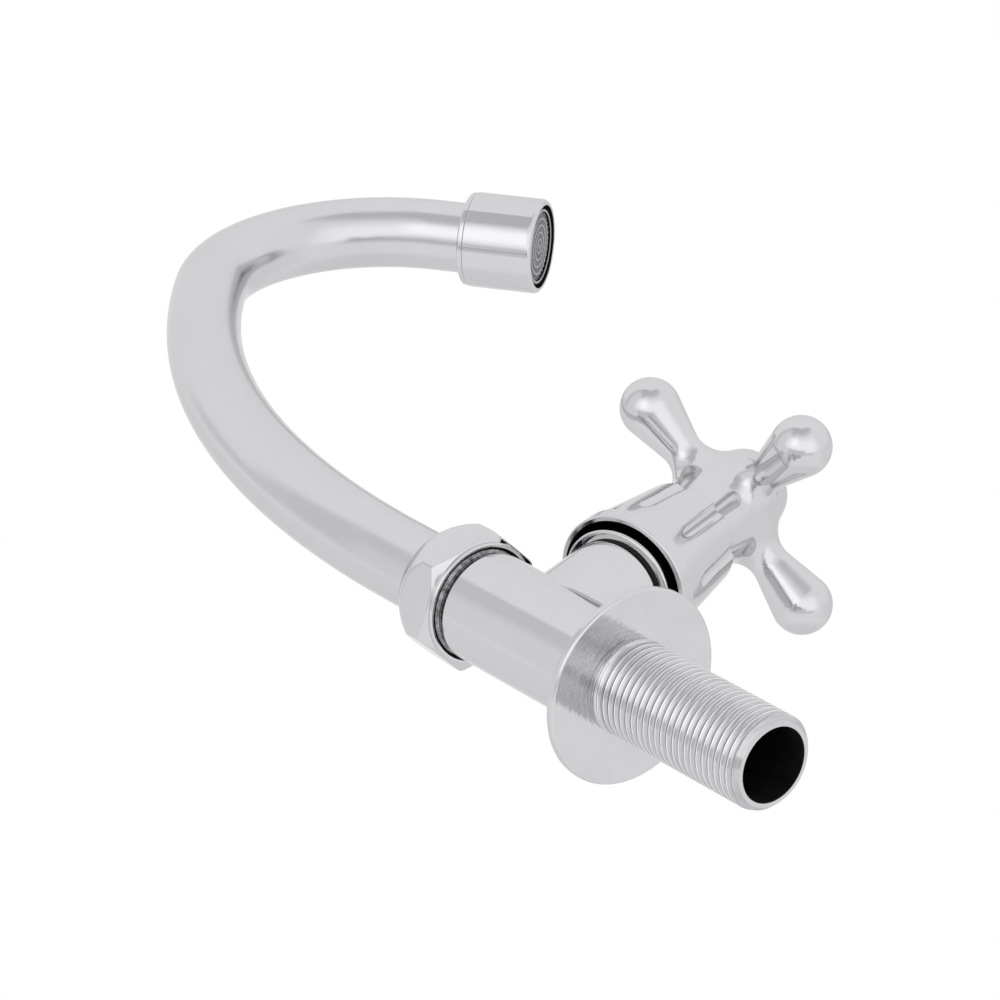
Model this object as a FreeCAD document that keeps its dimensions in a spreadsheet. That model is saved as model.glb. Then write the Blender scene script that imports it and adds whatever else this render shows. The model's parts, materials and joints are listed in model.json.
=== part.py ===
import FreeCAD, Part
import math
import os
import Sketcher

# Kitchen sink tap: a deck-mounted tap body with a tilted valve branch, a cross handle
# on its headwork, and a swan-neck spout that swivels under a domed union nut.
# Frame: +Z up the barrel, origin at the middle of the flange's underside, front at -Y.

# Driving sizes in millimetres and degrees
SIZES = {
    # Shank and deck flange
    "shank_length": 43.35,
    "thread_radius": 10.48,
    "thread_depth": 1.16,
    "thread_pitch": 1.814,
    "thread_crest_width": 0.3,
    "shank_chamfer": 1.35,
    "shank_corner_round": 0.2,
    "shank_wall": 1.32,
    "flange_radius": 21.65,
    "flange_thickness": 2.0,
    "flange_edge_round": 0.6,
    # Barrel and the neck that carries the union nut
    "barrel_radius": 12.35,
    "barrel_height": 49.25,
    "barrel_foot_round": 0.8,
    "barrel_edge_chamfer": 1.0,
    "neck_relief_height": 0.7,
    "neck_length": 11.5,
    "neck_wall": 3.85,
    "neck_chamfer": 0.6,
    "spout_bore_lead": 0.5,
    # Valve branch, measured along its own axis from the barrel's axis
    "branch_tilt_deg": 17.1,
    "branch_drop": 20.6,
    "branch_wall": 2.05,
    "branch_end_chamfer": 1.3,
    "inlet_roof_rise": 3.1,
    "outlet_floor_rise": 10.1,
    "chamber_step": 0.5,
    "chamber_floor": 9.0,
    "seat_top": 12.5,
    "seat_wall": 1.8,
    "seat_land": 0.2,
    "valve_room": 4.9,
    "bonnet_thread_radius": 9.6,
    "bonnet_thread_length": 9.2,
    # Clearances
    "thread_gap": 0.05,
    "running_gap": 0.05,
    "seat_gap": 0.05,
    "travel_gap": 0.5,
    # Headwork
    "bonnet_lead": 0.3,
    "bonnet_wall": 2.15,
    "bonnet_seal_thickness": 0.6,
    "bonnet_seal_inset": 0.45,
    "collar_overhang": 1.6,
    "collar_thickness": 3.0,
    "collar_edge_round": 0.6,
    "bonnet_flats_step": 2.2,
    "bonnet_flats_height": 5.0,
    "bonnet_stem_wall": 3.0,
    "bonnet_stem_length": 10.9,
    "guide_step": 0.6,
    # Spindle and what is on it
    "stem_radius": 3.0,
    "spindle_radius": 4.0,
    "spindle_flange_step": 1.0,
    "spindle_flange_thickness": 0.95,
    "thrust_washer_thickness": 0.6,
    "spindle_groove_depth": 1.1,
    "spindle_groove_width": 1.7,
    "spindle_groove_place": 2.4,
    "spindle_groove_spacing": 3.5,
    "circlip_width": 2.3,
    "circlip_thickness": 0.8,
    "circlip_groove_depth": 0.7,
    "drive_step": 2.5,
    "drive_length": 14.5,
    "drive_corner_trim": 0.04,
    "tapped_hole_depth": 10.0,
    # Jumper that closes on the seat
    "jumper_travel": 4.5,
    "stem_end_gap": 0.3,
    "washer_thickness": 1.95,
    "washer_inset": 0.4,
    "jumper_disc_gap": 0.4,
    "jumper_disc_thickness": 2.5,
    "jumper_guide_gap": 0.1,
    "jumper_guide_length": 9.0,
    "jumper_bore_floor": 0.4,
    "jumper_screw_radius": 2.0,
    "jumper_screw_depth": 2.0,
    "jumper_screw_head_gap": 1.7,
    "jumper_screw_head_thickness": 1.5,
    # Cross handle, measured along the branch axis
    "arm_turn_deg": 45.6,
    "skirt_reach": 2.3,
    "skirt_gap": 1.15,
    "skirt_lip_wall": 1.35,
    "skirt_lip_round": 0.45,
    "skirt_band_length": 3.9,
    "skirt_band_step": 0.3,
    "skirt_top_radius": 12.8,
    "skirt_top_round": 0.5,
    "skirt_wall": 2.3,
    "skirt_roof_thickness": 3.2,
    "boss_radius": 7.0,
    "boss_length": 6.0,
    "hub_neck_radius": 10.6,
    "hub_belly_radius": 11.6,
    "hub_belly_rise": 15.8,
    "hub_end_radius": 9.45,
    "hub_end_rise": 29.8,
    "hub_end_round": 6.0,
    "hub_flank_round": 45.0,
    "arm_rise": 17.05,
    "arm_ball_place": 27.7,
    "arm_ball_radius": 6.95,
    "arm_flare_deg": 13.2,
    "arm_waist_place": 14.5,
    "arm_root_round": 6.0,
    "arm_root_sweep_deg": 60.0,
    "flute_cutter_radius": 1.9,
    "flute_depth": 0.9,
    "flute_inset": 9.9,
    "cap_wall": 1.35,
    "cap_recess_depth": 2.0,
    "cap_crown": 1.3,
    "cap_gap": 0.1,
    "cap_crown_round": 12.0,
    "index_border": 2.8,
    "index_depth": 0.6,
    "index_crown_round": 44.0,
    "screw_radius": 1.95,
    "screw_head_width": 2.05,
    "screw_head_thickness": 3.0,
    "screw_head_gap": 0.7,
    "screw_hole_gap": 0.45,
    "screw_seat_depth": 9.3,
    "screw_tip_gap": 1.0,
    "screw_socket_flats": 3.0,
    "screw_socket_depth": 2.0,
    # Union nut
    "nut_lift": 1.3,
    "nut_wall": 1.75,
    "nut_corner_trim": 0.25,
    "nut_lip_wall": 1.4,
    "nut_lip_height": 0.6,
    "nut_chamfer_height": 1.33,
    "nut_shoulder_height": 5.9,
    "nut_dome_radius": 17.0,
    "nut_roof": 1.95,
    "nut_tube_gap": 0.3,
    "nut_ring_wall": 0.8,
    "nut_turn_deg": 17.7,
    # Spout
    "spout_swing_deg": 3.7,
    "tube_radius": 9.26,
    "tube_wall": 1.0,
    "riser_length": 16.75,
    "sweep_radius": 243.3,
    "sweep_deg": 41.4,
    "crook_radius": 44.6,
    "crook_deg": 104.05,
    "tip_length": 8.8,
    "tip_insert": 3.0,
    "spigot_floor_gap": 3.0,
    "spigot_stub_wall": 2.61,
    "spigot_wall": 1.45,
    "spigot_lead": 0.5,
    "spigot_groove_depth": 1.5,
    "spigot_groove_width": 2.0,
    "spigot_groove_place": 3.0,
    "spigot_groove_spacing": 6.0,
    "spigot_flange_thickness": 2.0,
    "spigot_stub_length": 6.0,
    "slip_washer_thickness": 0.8,
    "slip_washer_inset": 1.15,
    "spigot_flange_inset": 0.1,
    "o_ring_gap": 0.02,
    # Outlet bush and aerator, measured along the outlet from the bush's back face
    "bush_wall": 1.96,
    "bush_flange_thickness": 1.5,
    "bush_flange_inset": 0.2,
    "bush_chamfer": 0.6,
    "bush_length": 7.7,
    "housing_wall": 1.25,
    "housing_back_chamfer": 0.3,
    "housing_front_round": 1.4,
    "housing_lip_width": 0.3,
    "housing_lip_length": 3.0,
    "aerator_seal_thickness": 1.5,
    "aerator_seal_width": 2.2,
    "screen_thickness": 0.4,
    "core_length": 6.0,
    "core_wall": 1.6,
    "core_plate_thickness": 1.2,
    "core_jet_radius": 0.7,
    "core_jet_circle": 6.0,
    "aerator_step_gap": 0.05,
    "grid_flange_thickness": 1.35,
    "grid_flange_width": 1.3,
    "grid_nose_length": 2.45,
    "grid_rim_width": 0.7,
    "grid_ring_width": 0.6,
    "grid_spoke_width": 0.6,
    "grid_depth": 1.6,
    "grid_inset": 0.3,
    # One overrun serves every cut
    "overrun": 1.0,
}

CORE_JET_COUNT = 12
GRID_RING_COUNT = 4
GRID_SPOKE_COUNT = 12
HEX_SIDES = 6
SQUARE_SIDES = 4
FLUTE_COUNT = 8
ARM_COUNT = 4
ORIGIN_POINT = (-1, 1)
HORIZONTAL_AXIS = (-1,)
VERTICAL_AXIS = (-2,)


class Size:
    """A number together with the sheet expression that gives it."""

    def __init__(self, value, text):
        self.value = float(value)
        self.text = text

    def __add__(self, other):
        return combine(self, "+", other, self.value + number(other))

    def __radd__(self, other):
        return combine(other, "+", self, number(other) + self.value)

    def __sub__(self, other):
        return combine(self, "-", other, self.value - number(other))

    def __rsub__(self, other):
        return combine(other, "-", self, number(other) - self.value)

    def __mul__(self, other):
        return combine(self, "*", other, self.value * number(other))

    def __rmul__(self, other):
        return combine(other, "*", self, number(other) * self.value)

    def __truediv__(self, other):
        return combine(self, "/", other, self.value / number(other))

    def __neg__(self):
        return Size(-self.value, f"(-1 * {self.text})")


def number(item):
    """The plain value of a size or a number."""
    return item.value if isinstance(item, Size) else float(item)


def words(item):
    """The sheet expression of a size or a number."""
    return item.text if isinstance(item, Size) else repr(float(item))


def combine(left, sign, right, value):
    """A size worked out from two others."""
    return Size(value, f"({words(left)} {sign} {words(right)})")


def sine(angle):
    return Size(math.sin(math.radians(number(angle))), f"sin({words(angle)})")


def cosine(angle):
    return Size(math.cos(math.radians(number(angle))), f"cos({words(angle)})")


def tangent(angle):
    return Size(math.tan(math.radians(number(angle))), f"tan({words(angle)})")


def root(item):
    return Size(math.sqrt(number(item)), f"sqrt({words(item)})")


class Sheet:
    """The spreadsheet of driving sizes, read as attributes."""

    def __init__(self, document, sizes):
        self.cells = document.addObject("Spreadsheet::Sheet", "Sizes")
        for row, (alias, value) in enumerate(sizes.items(), start=1):
            self.cells.set(f"A{row}", alias)
            self.cells.set(f"B{row}", str(value))
            self.cells.setAlias(f"B{row}", alias)
            setattr(self, alias, Size(value, f"Sizes.{alias}"))


doc = FreeCAD.newDocument("KitchenTap")
s = Sheet(doc, SIZES)
doc.recompute()

ZERO = Size(0, "0")
ROOT_OF_THREE = root(Size(3, "3"))
ROOT_OF_TWO = root(Size(2, "2"))


def derive_spout_sizes():
    """Sizes that follow from the tube: the spigot in it, the bore, the neck and the nut round that."""
    s.tube_bore = s.tube_radius - s.tube_wall
    s.stub_radius = s.tube_bore - s.running_gap
    s.spigot_bore_radius = s.stub_radius - s.spigot_stub_wall
    s.spigot_groove_radius = s.spigot_bore_radius + s.spigot_wall
    s.spigot_radius = s.spigot_groove_radius + s.spigot_groove_depth
    s.spout_bore_radius = s.spigot_radius + s.running_gap
    s.neck_radius = s.spout_bore_radius + s.neck_wall
    s.slip_washer_radius = s.neck_radius - s.slip_washer_inset
    s.spigot_flange_radius = s.slip_washer_radius - s.spigot_flange_inset
    s.neck_height = s.barrel_height + s.neck_length
    s.branch_height = s.barrel_height - s.branch_drop
    s.spout_bore_floor = s.branch_height + s.outlet_floor_rise
    s.spigot_start = s.spout_bore_floor + s.spigot_floor_gap
    s.spigot_seat = s.neck_height + s.running_gap
    s.spigot_top = s.spigot_seat + s.spigot_flange_thickness
    s.riser_top = s.spigot_top + s.riser_length
    s.outlet_turn_deg = s.sweep_deg + s.crook_deg
    s.nut_base = s.barrel_height + s.nut_lift
    s.nut_thread_radius = s.neck_radius + s.thread_gap
    s.nut_lip_radius = s.nut_thread_radius + s.nut_lip_wall
    s.nut_corner_radius = (s.nut_thread_radius + s.nut_wall) * 2 / ROOT_OF_THREE
    s.nut_ring_top = s.spigot_top + s.slip_washer_thickness + 2 * s.running_gap - s.nut_base
    s.nut_height = s.nut_ring_top + s.nut_roof


def derive_valve_sizes():
    """Sizes that follow from the bonnet's thread and the seat: branch, jumper, headwork and spindle."""
    s.thread_core_radius = s.thread_radius - s.thread_depth
    s.inlet_bore_radius = s.thread_core_radius - s.shank_wall
    s.inlet_bore_top = s.branch_height + s.inlet_roof_rise
    s.branch_radius = s.bonnet_thread_radius + s.branch_wall
    s.chamber_radius = s.bonnet_thread_radius - s.chamber_step
    s.bonnet_thread_start = s.seat_top + s.valve_room
    s.branch_length = s.bonnet_thread_start + s.bonnet_thread_length
    s.bonnet_start = s.bonnet_thread_start + s.bonnet_lead
    s.bonnet_outer_radius = s.bonnet_thread_radius - s.thread_gap
    s.bonnet_cavity_radius = s.bonnet_outer_radius - s.bonnet_wall
    s.jumper_disc_radius = s.bonnet_cavity_radius - s.jumper_disc_gap
    s.washer_radius = s.jumper_disc_radius - s.washer_inset
    s.seat_radius = s.washer_radius + s.seat_land
    s.seat_hole_radius = s.seat_radius - s.seat_wall
    s.jumper_screw_head_radius = s.seat_hole_radius - s.jumper_screw_head_gap
    s.washer_start = s.seat_top + s.seat_gap
    s.jumper_start = s.washer_start + s.washer_thickness
    s.jumper_shoulder = s.jumper_start + s.jumper_disc_thickness
    s.bonnet_cavity_top = s.jumper_shoulder + s.jumper_travel + s.travel_gap
    s.guide_top = s.jumper_shoulder + s.jumper_guide_length + s.jumper_travel + s.travel_gap
    s.stem_start = s.jumper_shoulder + s.jumper_bore_floor + s.jumper_travel + s.stem_end_gap
    s.spindle_flange_radius = s.spindle_radius + s.spindle_flange_step
    s.guide_flats = (s.spindle_flange_radius + s.guide_step) * 2
    s.flange_stop = s.guide_top + s.spindle_flange_thickness + s.thrust_washer_thickness + s.running_gap
    s.bonnet_top = s.flange_stop + s.bonnet_stem_length
    s.bonnet_stem_radius = s.spindle_radius + s.bonnet_stem_wall
    s.collar_start = s.branch_length + s.bonnet_seal_thickness
    s.collar_radius = s.branch_radius + s.collar_overhang
    s.bonnet_flats = (s.collar_radius - s.bonnet_flats_step) * 2
    s.bonnet_seal_outer_radius = s.branch_radius - s.bonnet_seal_inset
    s.spindle_groove_start = s.flange_stop + s.spindle_groove_place
    s.circlip_start = s.bonnet_top + 2 * s.running_gap
    s.circlip_radius = s.spindle_radius - s.circlip_groove_depth + s.circlip_width
    s.drive_start = s.bonnet_top + s.drive_step
    s.drive_end = s.drive_start + s.drive_length
    s.drive_corner_radius = s.spindle_radius - s.drive_corner_trim
    s.tapped_hole_radius = s.screw_radius + s.thread_gap


def derive_handle_sizes():
    """Sizes that follow from the headwork: the skirt over it, the hub and what closes the hub."""
    s.skirt_start = s.collar_start + s.skirt_reach
    s.skirt_bore_radius = s.collar_radius + s.skirt_gap
    s.skirt_lip_radius = s.skirt_bore_radius + s.skirt_lip_wall
    s.skirt_roof = s.drive_start + s.boss_length
    s.skirt_top = s.skirt_roof + s.skirt_roof_thickness
    s.hub_belly_place = s.skirt_top + s.hub_belly_rise
    s.hub_end = s.skirt_top + s.hub_end_rise
    s.arm_place = s.skirt_top + s.arm_rise
    s.flute_start = s.skirt_start + s.flute_inset
    s.cap_hole_radius = s.hub_end_radius - s.cap_wall
    s.cap_radius = s.cap_hole_radius - s.cap_gap
    s.cap_floor = s.hub_end - s.cap_recess_depth
    s.index_radius = s.cap_radius - s.index_border
    s.screw_hole_radius = s.screw_radius + s.screw_hole_gap
    s.screw_head_radius = s.screw_radius + s.screw_head_width
    s.screw_recess_radius = s.screw_head_radius + s.screw_head_gap
    s.screw_seat = s.hub_end - s.screw_seat_depth
    s.screw_tip = s.drive_end - s.tapped_hole_depth + s.screw_tip_gap


def derive_outlet_sizes():
    """Sizes that follow from the tube's tip: the bush on it and the aerator's stack."""
    s.bush_thread_radius = s.tube_radius + s.bush_wall
    s.housing_bore_radius = s.bush_thread_radius + s.thread_gap
    s.housing_radius = s.housing_bore_radius + s.housing_wall
    s.bush_flange_radius = s.housing_radius - s.bush_flange_inset
    s.housing_lip_radius = s.housing_bore_radius - s.housing_lip_width
    s.insert_radius = s.bush_thread_radius
    s.seal_start = s.bush_length + s.aerator_step_gap
    s.screen_start = s.seal_start + s.aerator_seal_thickness + s.aerator_step_gap
    s.core_start = s.screen_start + s.screen_thickness + s.aerator_step_gap
    s.grid_start = s.core_start + s.core_length + s.aerator_step_gap
    s.housing_lip_start = s.grid_start + s.grid_flange_thickness + s.aerator_step_gap
    s.housing_length = s.housing_lip_start + s.housing_lip_length
    s.grid_nose_radius = s.insert_radius - s.grid_flange_width
    s.grid_rim_radius = s.grid_nose_radius - s.grid_rim_width
    s.grid_ring_spacing = s.grid_rim_radius / (GRID_RING_COUNT + 1)


derive_spout_sizes()
derive_valve_sizes()
derive_handle_sizes()
derive_outlet_sizes()


def upright(height=ZERO):
    """Placement of a piece on the barrel's axis."""
    return f"placement(vector(0; 0; {words(height)}); rotation(vector(0; 0; 1); 0))"


def on_branch(turn=ZERO):
    """Placement of a piece on the valve branch, turned about the branch axis."""
    lean = 90 - s.branch_tilt_deg
    return (f"placement(vector(0; 0; {s.branch_height.text}); "
            f"rotation(vector(1; 0; 0); {lean.text}) * rotation(vector(0; 0; 1); {words(turn)}))")


def on_spout(height):
    """Placement of a piece on the spout's foot, swung with the spout."""
    swing = s.spout_swing_deg - 90
    return f"placement(vector(0; 0; {height.text}); rotation(vector(0; 0; 1); {swing.text}))"


def crook_end():
    """Reach and height of the middle of the tube where the crook ends."""
    reach = s.sweep_radius * (1 - cosine(s.sweep_deg))
    height = s.riser_top + s.sweep_radius * sine(s.sweep_deg)
    reach = reach + s.crook_radius * (cosine(s.sweep_deg) - cosine(s.outlet_turn_deg))
    height = height + s.crook_radius * (sine(s.outlet_turn_deg) - sine(s.sweep_deg))
    return reach, height


def on_outlet():
    """Placement of a piece on the outlet, whose axis is the end of the spout."""
    reach, height = crook_end()
    reach = reach + s.tip_length * sine(s.outlet_turn_deg)
    height = height + s.tip_length * cosine(s.outlet_turn_deg)
    swing = s.spout_swing_deg - 90
    across = reach * sine(s.spout_swing_deg)
    forward = -(reach * cosine(s.spout_swing_deg))
    return (f"placement(vector({across.text}; {forward.text}; {height.text}); "
            f"rotation({swing.text}; {s.outlet_turn_deg.text}; 0))")


def place(piece, placement):
    """Bind a piece's placement to the sheet."""
    piece.setExpression("Placement", placement)
    return piece


def new_body(label):
    body = doc.addObject("PartDesign::Body", label)
    body.Label = label
    return body


def new_sketch(body, name, role, offset=None):
    """Sketch on one of the body's own origin planes, with a bound offset."""
    plane = [item for item in body.Origin.OriginFeatures if item.Role == role][0]
    sketch = body.newObject("Sketcher::SketchObject", name)
    sketch.AttachmentSupport = (plane, [""])
    sketch.MapMode = "FlatFace"
    if offset:
        sketch.setExpression("AttachmentOffset", offset)
    return sketch


def pin_point(sketch, geometry, end, across, along):
    """Hold one end of a line or arc at a bound place in the sketch."""
    for kind, axis, size in (("DistanceX", VERTICAL_AXIS, across), ("DistanceY", HORIZONTAL_AXIS, along)):
        if number(size) == 0:
            sketch.addConstraint(Sketcher.Constraint("PointOnObject", geometry, end, *axis))
            continue
        held = sketch.addConstraint(Sketcher.Constraint(kind, *ORIGIN_POINT, geometry, end, number(size)))
        sketch.setExpression(f"Constraints[{held}]", size.text)


def arc_centre(first, last, radius):
    """Centre of the arc between two corners, on the left of the way when radius is positive."""
    middle = (first + last) * 0.5
    chord = last - first
    rise = math.sqrt(max(radius * radius - chord.Length * chord.Length / 4, 0))
    left = FreeCAD.Vector(-chord.y, chord.x, 0).normalize()
    return middle + left * math.copysign(rise, radius)


def add_arc(sketch, first, last, radius):
    """Arc between two corners; returns its index and which of its ends is the first corner."""
    centre = arc_centre(first, last, number(radius))
    ends = (first, last) if number(radius) > 0 else (last, first)
    angles = [math.atan2(point.y - centre.y, point.x - centre.x) for point in ends]
    circle = Part.Circle(centre, FreeCAD.Vector(0, 0, 1), abs(number(radius)))
    index = sketch.addGeometry(Part.ArcOfCircle(circle, *angles))
    held = sketch.addConstraint(Sketcher.Constraint("Radius", index, abs(number(radius))))
    sketch.setExpression(f"Constraints[{held}]", radius.text if number(radius) > 0 else (-radius).text)
    return index, (1, 2) if number(radius) > 0 else (2, 1)


def draw_outline(sketch, corners):
    """Closed outline of (across, along) corners, counter-clockwise, bound to the sheet.

    A corner with a third entry starts an arc of that radius: convex when positive, hollow when negative.
    """
    points = [FreeCAD.Vector(number(corner[0]), number(corner[1]), 0) for corner in corners]
    ends = []
    for place_in_row, corner in enumerate(corners):
        first = points[place_in_row]
        last = points[(place_in_row + 1) % len(points)]
        if len(corner) == 3:
            ends.append(add_arc(sketch, first, last, corner[2]))
        else:
            ends.append((sketch.addGeometry(Part.LineSegment(first, last)), (1, 2)))
    for place_in_row, (index, (start, _)) in enumerate(ends):
        before, (_, finish) = ends[place_in_row - 1]
        sketch.addConstraint(Sketcher.Constraint("Coincident", before, finish, index, start))
        pin_point(sketch, index, start, *corners[place_in_row][:2])


def turn_feature(body, kind, name, corners, offset=None):
    """Add or cut a shape turned about the sketch's upright axis."""
    sketch = new_sketch(body, name + "_outline", "XZ_Plane", offset)
    draw_outline(sketch, corners)
    feature = body.newObject(kind, name)
    feature.Profile = sketch
    feature.ReferenceAxis = (sketch, ["V_Axis"])
    feature.Angle = 360
    doc.recompute()
    return feature


def add_turned(body, name, corners, offset=None):
    return turn_feature(body, "PartDesign::Revolution", name, corners, offset)


def cut_turned(body, name, corners, offset=None):
    """Cut a turned shape, and make sure that it cuts."""
    before = body.Shape.Volume
    feature = turn_feature(body, "PartDesign::Groove", name, corners, offset)
    if feature.Shape.Volume >= before:
        raise RuntimeError(f"{name} cuts nothing")
    return feature


def turned_body(label, corners, placement):
    """Body turned from one outline."""
    body = new_body(label)
    add_turned(body, label + "_turned", corners)
    return place(body, placement)


def ring(inner, outer, start, height):
    """Outline of a plain ring."""
    return [(inner, start), (outer, start), (outer, start + height), (inner, start + height)]


def level(height):
    """Offset of a sketch to a height above its body's base plane."""
    return f"placement(vector(0; 0; {words(height)}); rotation(vector(0; 0; 1); 0))"


def polygon_corners(sides, corner_radius):
    """Corners of a regular polygon, as sizes."""
    step = 360 / sides
    return [(corner_radius * cosine(step * turn), corner_radius * sine(step * turn)) for turn in range(sides)]


def draw_polygon(sketch, sides, corner_radius):
    """Regular polygon inscribed in a bound circle."""
    corners = [FreeCAD.Vector(number(across), number(along), 0)
               for across, along in polygon_corners(sides, corner_radius)]
    outer = Part.Circle(FreeCAD.Vector(), FreeCAD.Vector(0, 0, 1), number(corner_radius))
    circle = sketch.addGeometry(outer, True)
    sketch.addConstraint(Sketcher.Constraint("Coincident", circle, 3, *ORIGIN_POINT))
    held = sketch.addConstraint(Sketcher.Constraint("Radius", circle, number(corner_radius)))
    sketch.setExpression(f"Constraints[{held}]", corner_radius.text)
    lines = [sketch.addGeometry(Part.LineSegment(corners[turn - 1], corners[turn])) for turn in range(sides)]
    for turn in range(sides):
        sketch.addConstraint(Sketcher.Constraint("Coincident", lines[turn - 1], 2, lines[turn], 1))
        sketch.addConstraint(Sketcher.Constraint("PointOnObject", lines[turn], 2, circle))
        if turn:
            sketch.addConstraint(Sketcher.Constraint("Equal", lines[0], lines[turn]))
    sketch.addConstraint(Sketcher.Constraint("PointOnObject", lines[0], 2, *HORIZONTAL_AXIS))


def polygon_feature(body, kind, name, sides, corner_radius, start, length, reversed_way=False):
    """Pad or pocket of a regular polygon, from a height and along the axis."""
    sketch = new_sketch(body, name + "_outline", "XY_Plane", level(start))
    draw_polygon(sketch, sides, corner_radius)
    before = body.Shape.Volume
    feature = body.newObject(kind, name)
    feature.Profile = sketch
    feature.Reversed = reversed_way
    feature.setExpression("Length", words(length))
    doc.recompute()
    if kind == "PartDesign::Pocket" and feature.Shape.Volume >= before:
        raise RuntimeError(f"{name} cuts nothing")
    return feature


def turn_pattern(body, name, feature, count):
    """Copies of a feature spread evenly about the body's axis."""
    pattern = body.newObject("PartDesign::PolarPattern", name)
    pattern.Originals = [feature]
    axis = [item for item in body.Origin.OriginFeatures if item.Role == "Z_Axis"][0]
    pattern.Axis = (axis, [""])
    pattern.Angle = 360
    pattern.Occurrences = count
    body.Tip = pattern
    doc.recompute()
    return pattern


def ring_set(label, major, section, heights, placement):
    """Round-section rings of one size, kept as separate solids in one piece."""
    rings = []
    for place_in_row, height in enumerate(heights):
        one = doc.addObject("Part::Torus", f"{label}_{place_in_row + 1}")
        one.setExpression("Radius1", words(major))
        one.setExpression("Radius2", words(section))
        one.setExpression("Placement.Base.z", words(height))
        rings.append(one)
    group = doc.addObject("Part::Compound", label)
    group.Links = rings
    group.Label = label
    return place(group, placement)


# Fixed pieces

def build_tap_body():
    """Shank, flange, barrel, neck and branch as one casting, with its waterways."""
    deck = s.shank_length
    body = new_body("tap_body")
    flange_top = deck + s.flange_thickness
    barrel_top = deck + s.barrel_height
    relief_radius = s.barrel_radius - s.barrel_edge_chamfer
    neck_start = barrel_top + s.neck_relief_height
    neck_top = deck + s.neck_height
    add_turned(body, "barrel", [
        (ZERO, ZERO),
        (s.thread_radius - s.shank_chamfer, ZERO),
        (s.thread_radius, s.shank_chamfer),
        (s.thread_radius, deck - s.shank_corner_round, -s.shank_corner_round),
        (s.thread_radius + s.shank_corner_round, deck),
        (s.flange_radius - s.flange_edge_round, deck, s.flange_edge_round),
        (s.flange_radius, deck + s.flange_edge_round),
        (s.flange_radius, flange_top - s.flange_edge_round, s.flange_edge_round),
        (s.flange_radius - s.flange_edge_round, flange_top),
        (s.barrel_radius + s.barrel_foot_round, flange_top, -s.barrel_foot_round),
        (s.barrel_radius, flange_top + s.barrel_foot_round),
        (s.barrel_radius, barrel_top - s.barrel_edge_chamfer),
        (relief_radius, barrel_top),
        (relief_radius, neck_start),
        (s.neck_radius - s.neck_chamfer, neck_start),
        (s.neck_radius, neck_start + s.neck_chamfer),
        (s.neck_radius, neck_top - s.neck_chamfer),
        (s.neck_radius - s.neck_chamfer, neck_top),
        (ZERO, neck_top),
    ])
    branch_height = deck + s.branch_height
    # The outline's upright axis leans over to the branch: the sketch lies on XZ, turned about X.
    offset = (f"placement(vector(0; {branch_height.text}; 0); "
              f"rotation(vector(1; 0; 0); {(90 - s.branch_tilt_deg).text}))")
    add_turned(body, "branch", [
        (ZERO, ZERO),
        (s.branch_radius, ZERO),
        (s.branch_radius, s.branch_length - s.branch_end_chamfer),
        (s.branch_radius - s.branch_end_chamfer, s.branch_length),
        (ZERO, s.branch_length),
    ], offset)
    cut_turned(body, "inlet_bore", [
        (ZERO, ZERO),
        (s.inlet_bore_radius, ZERO),
        (s.inlet_bore_radius, deck + s.inlet_bore_top),
        (ZERO, deck + s.inlet_bore_top),
    ])
    cut_turned(body, "spout_bore", [
        (ZERO, deck + s.spout_bore_floor),
        (s.spout_bore_radius, deck + s.spout_bore_floor),
        (s.spout_bore_radius, neck_top - s.spout_bore_lead),
        (s.spout_bore_radius + s.spout_bore_lead, neck_top),
        (ZERO, neck_top),
    ])
    cut_turned(body, "valve_chamber", [
        (ZERO, ZERO),
        (s.seat_hole_radius, ZERO),
        (s.seat_hole_radius, s.seat_top),
        (s.seat_radius, s.seat_top),
        (s.seat_radius, s.chamber_floor),
        (s.chamber_radius, s.chamber_floor),
        (s.chamber_radius, s.bonnet_thread_start),
        (s.bonnet_thread_radius, s.bonnet_thread_start),
        (s.bonnet_thread_radius, s.branch_length),
        (ZERO, s.branch_length),
    ], offset)
    cut_thread_rings(body)
    return place(body, upright(-s.shank_length))


def cut_thread_rings(body):
    """The shank's thread, as one ring groove per turn."""
    half_root = s.thread_crest_width / 2
    half_mouth = (s.thread_pitch - s.thread_crest_width) / 2
    middle = s.shank_chamfer + s.thread_crest_width + half_mouth
    clear = s.thread_radius + s.overrun
    groove = cut_turned(body, "thread_groove", [
        (s.thread_core_radius, middle - half_root),
        (s.thread_radius, middle - half_mouth),
        (clear, middle - half_mouth),
        (clear, middle + half_mouth),
        (s.thread_radius, middle + half_mouth),
        (s.thread_core_radius, middle + half_root),
    ])
    threaded = s.shank_length - s.shank_corner_round - s.shank_chamfer
    turns = int(number(threaded) // number(s.thread_pitch))
    pattern = body.newObject("PartDesign::LinearPattern", "thread")
    pattern.Originals = [groove]
    axis = [item for item in body.Origin.OriginFeatures if item.Role == "Z_Axis"][0]
    pattern.Direction = (axis, [""])
    pattern.setExpression("Length", (s.thread_pitch * (turns - 1)).text)
    pattern.Occurrences = turns
    body.Tip = pattern
    doc.recompute()


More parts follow.
